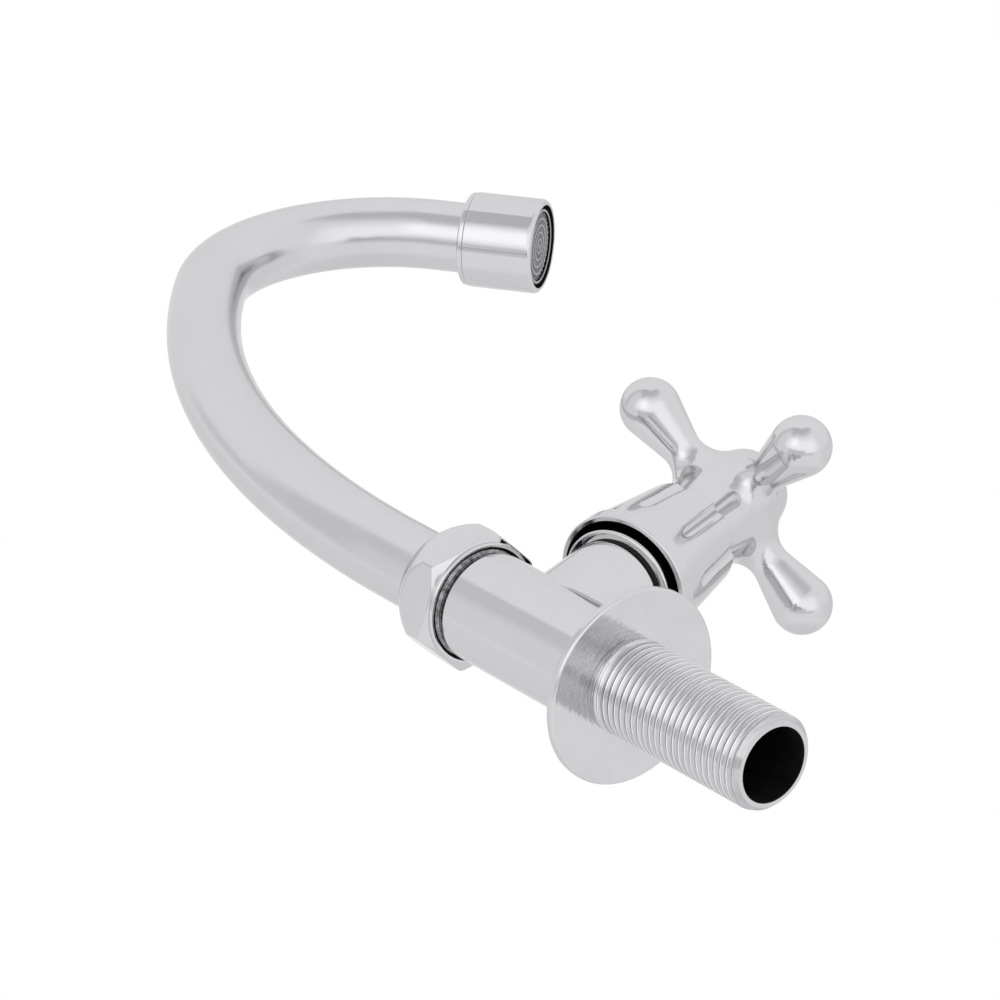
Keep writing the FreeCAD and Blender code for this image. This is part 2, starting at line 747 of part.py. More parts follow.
def build_spout_nut():
    """Domed hexagon nut that holds the spout down."""
    rim = s.nut_corner_radius - s.nut_corner_trim
    tube_hole = s.tube_radius + s.nut_tube_gap
    ring_radius = s.slip_washer_radius + s.nut_tube_gap
    thread_top = s.neck_height - s.nut_base + s.nut_ring_wall
    crown_radius = tube_hole + s.nut_ring_wall
    blank = new_body("spout_nut_blank")
    add_turned(blank, "nut_turned", [
        (s.nut_thread_radius, ZERO),
        (s.nut_lip_radius, ZERO),
        (s.nut_lip_radius, s.nut_lip_height),
        (rim, s.nut_lip_height + s.nut_chamfer_height),
        (rim, s.nut_shoulder_height, s.nut_dome_radius),
        (crown_radius, s.nut_height),
        (tube_hole, s.nut_height),
        (tube_hole, s.nut_ring_top),
        (ring_radius, s.nut_ring_top),
        (ring_radius, thread_top),
        (s.nut_thread_radius, thread_top),
    ])
    hexagon = doc.addObject("Part::Prism", "spout_nut_hexagon")
    hexagon.Polygon = HEX_SIDES
    hexagon.setExpression("Circumradius", s.nut_corner_radius.text)
    hexagon.setExpression("Height", s.nut_height.text)
    hexagon.setExpression("Placement.Rotation.Angle", s.nut_turn_deg.text)
    nut = doc.addObject("Part::MultiCommon", "spout_nut")
    nut.Shapes = [blank, hexagon]
    nut.Label = "spout_nut"
    return place(nut, upright(s.nut_base))


def build_bonnet():
    """Headwork that screws into the branch and guides the spindle and the jumper."""
    body = new_body("bonnet")
    collar_top = s.collar_start + s.collar_thickness
    flange_bore = s.spindle_flange_radius + s.running_gap
    spindle_bore = s.spindle_radius + s.running_gap
    add_turned(body, "bonnet_turned", [
        (s.bonnet_cavity_radius, s.bonnet_start),
        (s.bonnet_outer_radius, s.bonnet_start),
        (s.bonnet_outer_radius, s.collar_start),
        (s.collar_radius - s.collar_edge_round, s.collar_start, s.collar_edge_round),
        (s.collar_radius, s.collar_start + s.collar_edge_round),
        (s.collar_radius, collar_top - s.collar_edge_round, s.collar_edge_round),
        (s.collar_radius - s.collar_edge_round, collar_top),
        (s.bonnet_stem_radius, collar_top),
        (s.bonnet_stem_radius, s.bonnet_top),
        (spindle_bore, s.bonnet_top),
        (spindle_bore, s.flange_stop),
        (flange_bore, s.flange_stop),
        (flange_bore, s.bonnet_cavity_top),
        (s.bonnet_cavity_radius, s.bonnet_cavity_top),
    ])
    corner = s.bonnet_flats / ROOT_OF_THREE
    flats_start = collar_top - s.collar_edge_round
    flats_length = s.bonnet_flats_height + s.collar_edge_round
    polygon_feature(body, "PartDesign::Pad", "bonnet_hexagon", HEX_SIDES, corner, flats_start, flats_length)
    # The hexagon closes the bores, so they are cleared again.
    cut_turned(body, "bonnet_bore", [
        (ZERO, s.bonnet_cavity_top),
        (flange_bore, s.bonnet_cavity_top),
        (flange_bore, s.flange_stop),
        (spindle_bore, s.flange_stop),
        (spindle_bore, s.bonnet_top),
        (ZERO, s.bonnet_top),
    ])
    guide_corner = s.guide_flats / ROOT_OF_THREE
    guide_length = s.guide_top - s.bonnet_cavity_top
    polygon_feature(body, "PartDesign::Pocket", "jumper_guide", HEX_SIDES, guide_corner,
                    s.bonnet_cavity_top, guide_length, reversed_way=True)
    return place(body, on_branch())


def build_bonnet_seal():
    inner = s.bonnet_thread_radius
    outline = ring(inner, s.bonnet_seal_outer_radius, s.branch_length, s.bonnet_seal_thickness)
    return turned_body("bonnet_seal", outline, on_branch())


# Handle pieces

def build_spindle():
    """Spindle with a driving thread inside, a thrust flange, ring grooves and a square end."""
    body = new_body("spindle")
    flange_top = s.guide_top + s.spindle_flange_thickness
    groove_radius = s.spindle_radius - s.spindle_groove_depth
    first = s.spindle_groove_start
    second = first + s.spindle_groove_spacing
    clip = s.circlip_start
    clip_radius = s.spindle_radius - s.circlip_groove_depth
    add_turned(body, "spindle_turned", [
        (ZERO, s.stem_start),
        (s.stem_radius, s.stem_start),
        (s.stem_radius, s.guide_top),
        (s.spindle_flange_radius, s.guide_top),
        (s.spindle_flange_radius, flange_top),
        (s.spindle_radius, flange_top),
        (s.spindle_radius, first),
        (groove_radius, first),
        (groove_radius, first + s.spindle_groove_width),
        (s.spindle_radius, first + s.spindle_groove_width),
        (s.spindle_radius, second),
        (groove_radius, second),
        (groove_radius, second + s.spindle_groove_width),
        (s.spindle_radius, second + s.spindle_groove_width),
        (s.spindle_radius, clip - s.running_gap),
        (clip_radius, clip - s.running_gap),
        (clip_radius, clip + s.circlip_thickness + s.running_gap),
        (s.spindle_radius, clip + s.circlip_thickness + s.running_gap),
        (s.spindle_radius, s.drive_start),
        (ZERO, s.drive_start),
    ])
    polygon_feature(body, "PartDesign::Pad", "drive_square", SQUARE_SIDES, s.drive_corner_radius,
                    s.drive_start, s.drive_length)
    floor = s.drive_end - s.tapped_hole_depth
    cut_turned(body, "tapped_hole", [
        (ZERO, floor),
        (s.tapped_hole_radius, floor),
        (s.tapped_hole_radius, s.drive_end),
        (ZERO, s.drive_end),
    ])
    return place(body, on_branch(s.arm_turn_deg))


def build_spindle_rings():
    inner = s.spindle_radius - s.spindle_groove_depth
    outer = s.spindle_radius + s.running_gap
    first = s.spindle_groove_start + s.spindle_groove_width / 2
    heights = [first, first + s.spindle_groove_spacing]
    section = (outer - inner - s.o_ring_gap) / 2
    return ring_set("spindle_o_rings", (inner + outer) / 2, section, heights, on_branch())


def build_thrust_washer():
    start = s.guide_top + s.spindle_flange_thickness
    inner = s.spindle_radius + s.running_gap
    outline = ring(inner, s.spindle_flange_radius, start, s.thrust_washer_thickness)
    return turned_body("thrust_washer", outline, on_branch())


def build_circlip():
    inner = s.spindle_radius - s.circlip_groove_depth + s.running_gap
    outline = ring(inner, s.circlip_radius, s.circlip_start, s.circlip_thickness)
    return turned_body("spindle_circlip", outline, on_branch())


def build_handle():
    """Cross handle: fluted skirt, hub and four ball-ended arms in one casting."""
    body = new_body("handle")
    band_end = s.skirt_start + s.skirt_band_length
    cone_start_radius = s.skirt_lip_radius - s.skirt_band_step
    cone_start = band_end + s.skirt_band_step
    add_turned(body, "handle_turned", [
        (s.screw_hole_radius, s.drive_start),
        (s.boss_radius, s.drive_start),
        (s.boss_radius, s.skirt_roof),
        (s.skirt_top_radius - s.skirt_wall, s.skirt_roof),
        (s.skirt_bore_radius, cone_start),
        (s.skirt_bore_radius, s.skirt_start),
        (s.skirt_lip_radius - s.skirt_lip_round, s.skirt_start, s.skirt_lip_round),
        (s.skirt_lip_radius, s.skirt_start + s.skirt_lip_round),
        (s.skirt_lip_radius, band_end),
        (cone_start_radius, cone_start),
        (s.skirt_top_radius, s.skirt_top - s.skirt_top_round, s.skirt_top_round),
        (s.skirt_top_radius - s.skirt_top_round, s.skirt_top),
        (s.hub_neck_radius, s.skirt_top),
        (s.hub_belly_radius, s.hub_belly_place, s.hub_flank_round),
        (s.hub_end_radius, s.cap_floor, s.hub_end_round),
        (s.cap_hole_radius, s.hub_end),
        (s.cap_hole_radius, s.cap_floor),
        (s.screw_recess_radius, s.cap_floor),
        (s.screw_recess_radius, s.screw_seat),
        (s.screw_hole_radius, s.screw_seat),
    ])
    add_arms(body)
    cut_flutes(body, cone_start_radius, cone_start)
    corner = s.drive_corner_radius + s.running_gap * ROOT_OF_TWO
    socket_length = s.drive_length + s.running_gap
    polygon_feature(body, "PartDesign::Pocket", "drive_socket", SQUARE_SIDES, corner,
                    s.drive_start, socket_length, reversed_way=True)
    return place(body, on_branch(s.arm_turn_deg))


def add_arms(body):
    """Four club-shaped arms with trumpet roots and ball ends."""
    tangent_place = s.arm_ball_place - s.arm_ball_radius * sine(s.arm_flare_deg)
    tangent_radius = s.arm_ball_radius * cosine(s.arm_flare_deg)
    waist_radius = tangent_radius - tangent(s.arm_flare_deg) * (tangent_place - s.arm_waist_place)
    centre_radius = waist_radius + s.arm_root_round * cosine(s.arm_flare_deg)
    centre_place = s.arm_waist_place - s.arm_root_round * sine(s.arm_flare_deg)
    root_radius = centre_radius - s.arm_root_round * cosine(s.arm_root_sweep_deg)
    root_place = centre_place - s.arm_root_round * sine(s.arm_root_sweep_deg)
    offset = f"placement(vector(0; {s.arm_place.text}; 0); rotation(vector(0; 0; 1); -90))"
    arm = add_turned(body, "arm", [
        (ZERO, root_place),
        (root_radius, root_place, -s.arm_root_round),
        (waist_radius, s.arm_waist_place),
        (tangent_radius, tangent_place, s.arm_ball_radius),
        (ZERO, s.arm_ball_place + s.arm_ball_radius),
    ], offset)
    turn_pattern(body, "arms", arm, ARM_COUNT)


def cut_flutes(body, cone_radius, cone_start):
    """Round-ended flutes along the skirt, open at its top edge."""
    rise = s.skirt_top - s.skirt_top_round - cone_start
    slope = (cone_radius - s.skirt_top_radius) / rise
    lean = Size(math.degrees(math.atan(number(slope))), f"atan({slope.text})")
    surface = cone_radius - slope * (s.flute_start - cone_start)
    axis_radius = surface + (s.flute_cutter_radius - s.flute_depth) / cosine(lean)
    length = (s.skirt_top - s.flute_start) / cosine(lean) + s.overrun
    offset = (f"placement(vector({axis_radius.text}; {s.flute_start.text}; 0); "
              f"rotation(vector(0; 0; 1); {lean.text}))")
    flute = cut_turned(body, "flute", [
        (ZERO, ZERO, s.flute_cutter_radius),
        (s.flute_cutter_radius, s.flute_cutter_radius),
        (s.flute_cutter_radius, length),
        (ZERO, length),
    ], offset)
    turn_pattern(body, "flutes", flute, FLUTE_COUNT)


def build_handle_screw():
    body = new_body("handle_screw")
    head_top = s.screw_seat + s.screw_head_thickness
    add_turned(body, "screw_turned", [
        (ZERO, s.screw_tip),
        (s.screw_radius, s.screw_tip),
        (s.screw_radius, s.screw_seat),
        (s.screw_head_radius, s.screw_seat),
        (s.screw_head_radius, head_top),
        (ZERO, head_top),
    ])
    corner = s.screw_socket_flats / ROOT_OF_THREE
    polygon_feature(body, "PartDesign::Pocket", "screw_socket", HEX_SIDES, corner,
                    head_top, s.screw_socket_depth)
    return place(body, on_branch())


def build_index_cap():
    """Cap that plugs the hub's outer end, with a shallow seat for the index disc."""
    crown = s.hub_end + s.cap_crown
    return turned_body("index_cap", [
        (ZERO, s.cap_floor),
        (s.cap_radius, s.cap_floor),
        (s.cap_radius, s.hub_end, s.cap_crown_round),
        (s.index_radius, crown),
        (s.index_radius, crown - s.index_depth),
        (ZERO, crown - s.index_depth),
    ], on_branch())


def build_index_disc():
    floor = s.hub_end + s.cap_crown - s.index_depth
    radius = s.index_radius - s.running_gap
    edge = floor + s.index_depth
    crown = s.index_crown_round - root(s.index_crown_round * s.index_crown_round - radius * radius)
    return turned_body("index_disc", [
        (ZERO, floor),
        (radius, floor),
        (radius, edge, s.index_crown_round),
        (ZERO, edge + crown),
    ], on_branch())


# Jumper pieces

def build_jumper():
    """Plunger that the spindle's thread lifts off the seat."""
    body = new_body("jumper")
    screw_floor = s.jumper_start + s.jumper_screw_depth
    add_turned(body, "jumper_disc", [
        (s.jumper_screw_radius, s.jumper_start),
        (s.jumper_disc_radius, s.jumper_start),
        (s.jumper_disc_radius, s.jumper_shoulder),
        (ZERO, s.jumper_shoulder),
        (ZERO, screw_floor),
        (s.jumper_screw_radius, screw_floor),
    ])
    corner = (s.guide_flats - 2 * s.jumper_guide_gap) / ROOT_OF_THREE
    polygon_feature(body, "PartDesign::Pad", "jumper_hexagon", HEX_SIDES, corner,
                    s.jumper_shoulder, s.jumper_guide_length)
    bore_floor = s.jumper_shoulder + s.jumper_bore_floor
    bore_radius = s.stem_radius + s.thread_gap
    cut_turned(body, "jumper_bore", [
        (ZERO, bore_floor),
        (bore_radius, bore_floor),
        (bore_radius, s.jumper_shoulder + s.jumper_guide_length),
        (ZERO, s.jumper_shoulder + s.jumper_guide_length),
    ])
    return place(body, on_branch())


def build_jumper_washer():
    outline = ring(s.jumper_screw_radius, s.washer_radius, s.washer_start, s.washer_thickness)
    return turned_body("jumper_washer", outline, on_branch())


def build_jumper_screw():
    head_start = s.washer_start - s.jumper_screw_head_thickness
    tip = s.jumper_start + s.jumper_screw_depth
    shank = s.jumper_screw_radius - s.thread_gap
    return turned_body("jumper_screw", [
        (ZERO, head_start),
        (s.jumper_screw_head_radius, head_start),
        (s.jumper_screw_head_radius, s.washer_start),
        (shank, s.washer_start),
        (shank, tip - s.thread_gap),
        (ZERO, tip - s.thread_gap),
    ], on_branch())


# Spout pieces

def build_spout_tube():
    """Bent tube: straight foot, a long easy sweep, a tight crook and a short straight tip."""
    body = new_body("spout_tube")
    section = new_sketch(body, "tube_section", "XY_Plane")
    for radius in (s.tube_radius, s.tube_bore):
        sketch_circle(section, radius)
    path = new_sketch(body, "tube_path", "XZ_Plane")
    sweep_x = s.sweep_radius * (1 - cosine(s.sweep_deg))
    sweep_z = s.riser_length + s.sweep_radius * sine(s.sweep_deg)
    end_x, end_height = crook_end()
    end_z = end_height - s.spigot_top
    tip = s.tip_length + s.tip_insert
    tip_x = end_x + tip * sine(s.outlet_turn_deg)
    tip_z = end_z + tip * cosine(s.outlet_turn_deg)
    stops = [(ZERO, ZERO), (ZERO, s.riser_length), (sweep_x, sweep_z), (end_x, end_z), (tip_x, tip_z)]
    bends = [None, -s.sweep_radius, -s.crook_radius, None]
    draw_path(path, stops, bends)
    pipe = body.newObject("PartDesign::AdditivePipe", "tube_bent")
    pipe.Profile = section
    pipe.Spine = (path, [f"Edge{count + 1}" for count in range(len(bends))])
    doc.recompute()
    return place(body, on_spout(s.spigot_top))


def sketch_circle(sketch, radius):
    """Circle about the sketch's origin with a bound radius."""
    circle = sketch.addGeometry(Part.Circle(FreeCAD.Vector(), FreeCAD.Vector(0, 0, 1), number(radius)))
    sketch.addConstraint(Sketcher.Constraint("Coincident", circle, 3, *ORIGIN_POINT))
    held = sketch.addConstraint(Sketcher.Constraint("Radius", circle, number(radius)))
    sketch.setExpression(f"Constraints[{held}]", radius.text)


def draw_path(sketch, stops, bends):
    """Open path of lines and arcs through bound points."""
    points = [FreeCAD.Vector(number(across), number(along), 0) for across, along in stops]
    ends = []
    for first, last, bend in zip(points, points[1:], bends):
        if bend is None:
            ends.append((sketch.addGeometry(Part.LineSegment(first, last)), (1, 2)))
        else:
            ends.append(add_arc(sketch, first, last, bend))
    for (before, (_, finish)), (after, (start, _)) in zip(ends, ends[1:]):
        sketch.addConstraint(Sketcher.Constraint("Coincident", before, finish, after, start))
    for (index, (start, _)), stop in zip(ends, stops):
        pin_point(sketch, index, start, *stop)
    last_index, (_, finish) = ends[-1]
    pin_point(sketch, last_index, finish, *stops[-1])


def build_spout_spigot():
    """Turned end of the spout: two ring grooves, a thrust flange and a stub in the tube."""
    radius = s.spigot_radius
    groove = s.spigot_groove_radius
    first = s.spigot_groove_place
    second = first + s.spigot_groove_spacing
    seat = s.spigot_seat - s.spigot_start
    top = s.spigot_top - s.spigot_start
    return turned_body("spout_spigot", [
        (s.spigot_bore_radius, ZERO),
        (radius - s.spigot_lead, ZERO),
        (radius, s.spigot_lead),
        (radius, first),
        (groove, first),
        (groove, first + s.spigot_groove_width),
        (radius, first + s.spigot_groove_width),
        (radius, second),
        (groove, second),
        (groove, second + s.spigot_groove_width),
        (radius, second + s.spigot_groove_width),
        (radius, seat),
        (s.spigot_flange_radius, seat),
        (s.spigot_flange_radius, top),
        (s.stub_radius, top),
        (s.stub_radius, top + s.spigot_stub_length),
        (s.spigot_bore_radius, top + s.spigot_stub_length),
    ], on_spout(s.spigot_start))


def build_spout_rings():
    first = s.spigot_groove_place + s.spigot_groove_width / 2
    heights = [first, first + s.spigot_groove_spacing]
    major = (s.spigot_groove_radius + s.spout_bore_radius) / 2
    section = (s.spout_bore_radius - s.spigot_groove_radius - s.o_ring_gap) / 2
    return ring_set("spout_o_rings", major, section, heights, on_spout(s.spigot_start))


def build_slip_washer():
    inner = s.tube_radius + 2 * s.running_gap
    outline = ring(inner, s.slip_washer_radius, ZERO, s.slip_washer_thickness)
    return turned_body("slip_washer", outline, on_spout(s.spigot_top + s.running_gap))


def build_outlet_bush():
    """Threaded bush brazed on the tube's tip, with a chamfered back flange."""
    socket = s.tube_radius + s.running_gap
    return turned_body("outlet_bush", [
        (socket, ZERO),
        (s.bush_flange_radius - s.bush_chamfer, ZERO),
        (s.bush_flange_radius, s.bush_chamfer),
        (s.bush_flange_radius, s.bush_flange_thickness),
        (s.bush_thread_radius, s.bush_flange_thickness),
        (s.bush_thread_radius, s.bush_length),
        (s.tube_bore, s.bush_length),
        (s.tube_bore, s.tip_insert),
        (socket, s.tip_insert),
    ], on_outlet())


def build_aerator_housing():
    """Plain collar that screws onto the bush and holds the aerator's inside."""
    inner = s.housing_bore_radius
    start = s.bush_flange_thickness + s.aerator_step_gap
    return turned_body("aerator_housing", [
        (inner, start),
        (s.housing_radius - s.housing_back_chamfer, start),
        (s.housing_radius, start + s.housing_back_chamfer),
        (s.housing_radius, s.housing_length - s.housing_front_round, s.housing_front_round),
        (s.housing_radius - s.housing_front_round, s.housing_length),
        (s.housing_lip_radius, s.housing_length),
        (s.housing_lip_radius, s.housing_lip_start),
        (inner, s.housing_lip_start),
    ], on_outlet())


def build_aerator_seal():
    inner = s.insert_radius - s.aerator_seal_width
    outline = ring(inner, s.insert_radius, s.seal_start, s.aerator_seal_thickness)
    return turned_body("aerator_seal", outline, on_outlet())


def build_aerator_screen():
    outline = ring(ZERO, s.insert_radius, s.screen_start, s.screen_thickness)
    return turned_body("aerator_screen", outline, on_outlet())


def build_aerator_core():
    """Cup with a ring of jets that mixes air into the water."""
    body = new_body("aerator_core")
    plate = s.core_start + s.core_plate_thickness
    add_turned(body, "core_turned", [
        (ZERO, s.core_start),
        (s.insert_radius, s.core_start),
        (s.insert_radius, s.core_start + s.core_length),
        (s.insert_radius - s.core_wall, s.core_start + s.core_length),
        (s.insert_radius - s.core_wall, plate),
        (ZERO, plate),
    ])
    offset = (f"placement(vector({s.core_jet_circle.text}; {s.core_start.text}; 0); "
              f"rotation(vector(0; 0; 1); 0))")
    jet = cut_turned(body, "core_jet", [
        (ZERO, ZERO),
        (s.core_jet_radius, ZERO),
        (s.core_jet_radius, s.core_plate_thickness),
        (ZERO, s.core_plate_thickness),
    ], offset)
    turn_pattern(body, "core_jets", jet, CORE_JET_COUNT)
    return place(body, on_outlet())


def build_aerator_grid():
    """Outlet nose: a flanged rim, spokes and rings that straighten the stream."""
    body = new_body("aerator_grid")
    rim = s.grid_rim_radius
    flange_top = s.grid_start + s.grid_flange_thickness
    nose_top = flange_top + s.grid_nose_length
    add_turned(body, "grid_rim", [
        (rim, s.grid_start),
        (s.insert_radius, s.grid_start),
        (s.insert_radius, flange_top),
        (s.grid_nose_radius, flange_top),
        (s.grid_nose_radius, nose_top),
        (rim, nose_top),
    ])
    grid_top = nose_top - s.grid_inset
    grid_base = grid_top - s.grid_depth
    spokes = new_sketch(body, "spoke_outline", "XY_Plane", level(grid_base))
    half = s.grid_spoke_width / 2
    reach = rim + s.grid_rim_width / 2
    draw_bar(spokes, reach, half)
    spoke = body.newObject("PartDesign::Pad", "grid_spoke")
    spoke.Profile = spokes
    spoke.setExpression("Length", s.grid_depth.text)
    doc.recompute()
    turn_pattern(body, "grid_spokes", spoke, GRID_SPOKE_COUNT)
    add_grid_rings(body, grid_base)
    return place(body, on_outlet())


def draw_bar(sketch, reach, half):
    """Bar from the middle out to a bound reach, as wide as twice half."""
    sides = [(ZERO, -half), (reach, -half), (reach, half), (ZERO, half)]
    points = [FreeCAD.Vector(number(across), number(along), 0) for across, along in sides]
    ends = zip(points[-1:] + points, points)
    lines = [sketch.addGeometry(Part.LineSegment(before, after)) for before, after in ends]
    for turn in range(len(points)):
        sketch.addConstraint(Sketcher.Constraint("Coincident", lines[turn - 1], 2, lines[turn], 1))
    sketch.addConstraint(Sketcher.Constraint("Symmetric", lines[0], 1, lines[0], 2, *ORIGIN_POINT))
    sketch.addConstraint(Sketcher.Constraint("PointOnObject", lines[0], 1, *VERTICAL_AXIS))
    sketch.addConstraint(Sketcher.Constraint("Horizontal", lines[1]))
    sketch.addConstraint(Sketcher.Constraint("Horizontal", lines[3]))
    sketch.addConstraint(Sketcher.Constraint("Vertical", lines[2]))
    for line, length in ((lines[0], 2 * half), (lines[1], reach)):
        held = sketch.addConstraint(Sketcher.Constraint("Distance", line, 1, line, 2, number(length)))
        sketch.setExpression(f"Constraints[{held}]", length.text)


def add_grid_rings(body, grid_base):
    """Rings of the grid, spaced evenly from the middle, and a round button at the middle."""
    for count in range(GRID_RING_COUNT + 1):
        middle = s.grid_ring_spacing * count
        outer = middle + s.grid_ring_width / 2
        inner = middle - s.grid_ring_width / 2 if count else ZERO
        add_turned(body, f"grid_ring_{count}", ring(inner, outer, grid_base, s.grid_depth))


PIECES = [
    build_tap_body, build_spout_nut, build_bonnet, build_bonnet_seal,
    build_spindle, build_spindle_rings, build_thrust_washer, build_circlip,
    build_handle, build_handle_screw, build_index_cap, build_index_disc,
    build_jumper, build_jumper_washer, build_jumper_screw,
    build_spout_tube, build_spout_spigot, build_spout_rings, build_slip_washer,
    build_outlet_bush, build_aerator_housing, build_aerator_seal, build_aerator_screen,
    build_aerator_core, build_aerator_grid,
]


def check_document():
    """Stop if any object of the document failed."""
    for item in doc.Objects:
        if "Invalid" in item.State or "Error" in item.State:
            raise RuntimeError(f"{item.Name} failed: {item.State}")


def check_tube(tube):
    """Compare the bent tube with its section times its length."""
    arcs = math.radians(number(s.sweep_deg)) * number(s.sweep_radius)
    arcs += math.radians(number(s.crook_deg)) * number(s.crook_radius)
    length = number(s.riser_length + s.tip_length + s.tip_insert) + arcs
    section = math.pi * (number(s.tube_radius) ** 2 - number(s.tube_bore) ** 2)
    share = tube.Shape.Volume / (section * length)
    print(f"spout tube volume over section times length: {share:.5f}")


def write_pieces(pieces):
    """Write each piece's solids to its own file."""
    os.makedirs("parts", exist_ok=True)
    for piece in pieces:
        shape = piece.Shape
        if shape.isNull() or not shape.isValid():
            raise RuntimeError(f"{piece.Label} has no valid shape")
        shape.exportStep(f"parts/{piece.Label}.step")
        print(f"{piece.Label}: {len(shape.Solids)} solid(s), {shape.Volume:.1f} mm3")


pieces = [build() for build in PIECES]
doc.recompute()
check_document()
check_tube(doc.getObject("spout_tube"))
write_pieces(pieces)
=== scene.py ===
"""Dresses the kitchen sink tap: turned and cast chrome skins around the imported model, in its own frame."""

import json
import logging
import math
from dataclasses import dataclass, field, replace
from enum import Enum
from typing import Any, Callable, Dict, List, Optional, Sequence, Tuple, Union

import bpy
import numpy as np
from mathutils import Matrix


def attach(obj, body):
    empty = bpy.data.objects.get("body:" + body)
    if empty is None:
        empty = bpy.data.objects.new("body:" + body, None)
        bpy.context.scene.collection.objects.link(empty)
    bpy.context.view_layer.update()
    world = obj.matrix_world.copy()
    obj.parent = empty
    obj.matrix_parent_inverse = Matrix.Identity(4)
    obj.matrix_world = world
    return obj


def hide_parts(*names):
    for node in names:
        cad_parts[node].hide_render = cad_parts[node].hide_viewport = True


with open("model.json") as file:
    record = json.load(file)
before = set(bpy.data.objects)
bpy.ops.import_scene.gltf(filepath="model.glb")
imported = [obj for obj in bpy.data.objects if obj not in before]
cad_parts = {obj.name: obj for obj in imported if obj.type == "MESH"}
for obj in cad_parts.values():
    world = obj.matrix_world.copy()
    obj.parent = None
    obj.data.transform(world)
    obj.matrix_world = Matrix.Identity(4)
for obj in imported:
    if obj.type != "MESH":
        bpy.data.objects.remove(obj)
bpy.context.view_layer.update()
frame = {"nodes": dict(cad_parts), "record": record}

Array = np.ndarray
Point = Tuple[float, float, float]
Colour = Tuple[float, float, float]
Carve = Callable[[Array, Array], Array]
Leg = Tuple[Array, Array, Array, Array, float]

LOG = logging.getLogger("tap")
MM = 0.001
FULL_TURN = 2.0 * math.pi
UP = np.array([0.0, 0.0, 1.0])
WHITE = (1.0, 1.0, 1.0)


class Slot(Enum):
    """Names of three of the record's material slots; the pieces here don't set them."""

    CHROME = "chrome"
    GREY_PLASTIC = "grey_plastic"
    BLUE_PLASTIC = "blue_plastic"


class Body(Enum):
    """The bodies that the new pieces move with."""

    TAP = "tap"
    HANDLE = "handle"
    SPOUT = "spout"


# Shader sums


class Wire:
    """A node's output that takes part in Python sums."""

    def __init__(self, sheet: "Sheet", socket: Any) -> None:
        """Keeps the output and the sheet that it belongs to."""
        self.sheet = sheet
        self.socket = socket

    def beside(self, name: str) -> "Wire":
        """Another output of the same node."""
        return Wire(self.sheet, self.socket.node.outputs[name])

    def math(self, operation: str, other: Any = 0.0, swapped: bool = False) -> "Wire":
        """Adds one Math node.

        Args:
            operation: the Math node's operation.
            other: the second number or wire.
            swapped: whether the other one comes first.

        Returns:
            The node's output.
        """
        pair = (other, self) if swapped else (self, other)
        return self.sheet.node("ShaderNodeMath", {"operation": operation}, {0: pair[0], 1: pair[1]})

    def __add__(self, other: Any) -> "Wire":
        """Sum."""
        return self.math("ADD", other)

    __radd__ = __add__

    def __sub__(self, other: Any) -> "Wire":
        """Difference."""
        return self.math("SUBTRACT", other)

    def __rsub__(self, other: Any) -> "Wire":
        """Difference with the wire second."""
        return self.math("SUBTRACT", other, True)

    def __mul__(self, other: Any) -> "Wire":
        """Product."""
        return self.math("MULTIPLY", other)

    __rmul__ = __mul__

    def __truediv__(self, other: Any) -> "Wire":
        """Quotient."""
        return self.math("DIVIDE", other)

    def __rtruediv__(self, other: Any) -> "Wire":
        """Quotient with the wire second."""
        return self.math("DIVIDE", other, True)

    def __pow__(self, other: Any) -> "Wire":
        """Power."""
        return self.math("POWER", other)

    def __rpow__(self, other: Any) -> "Wire":
        """Power with the wire as exponent."""
        return self.math("POWER", other, True)


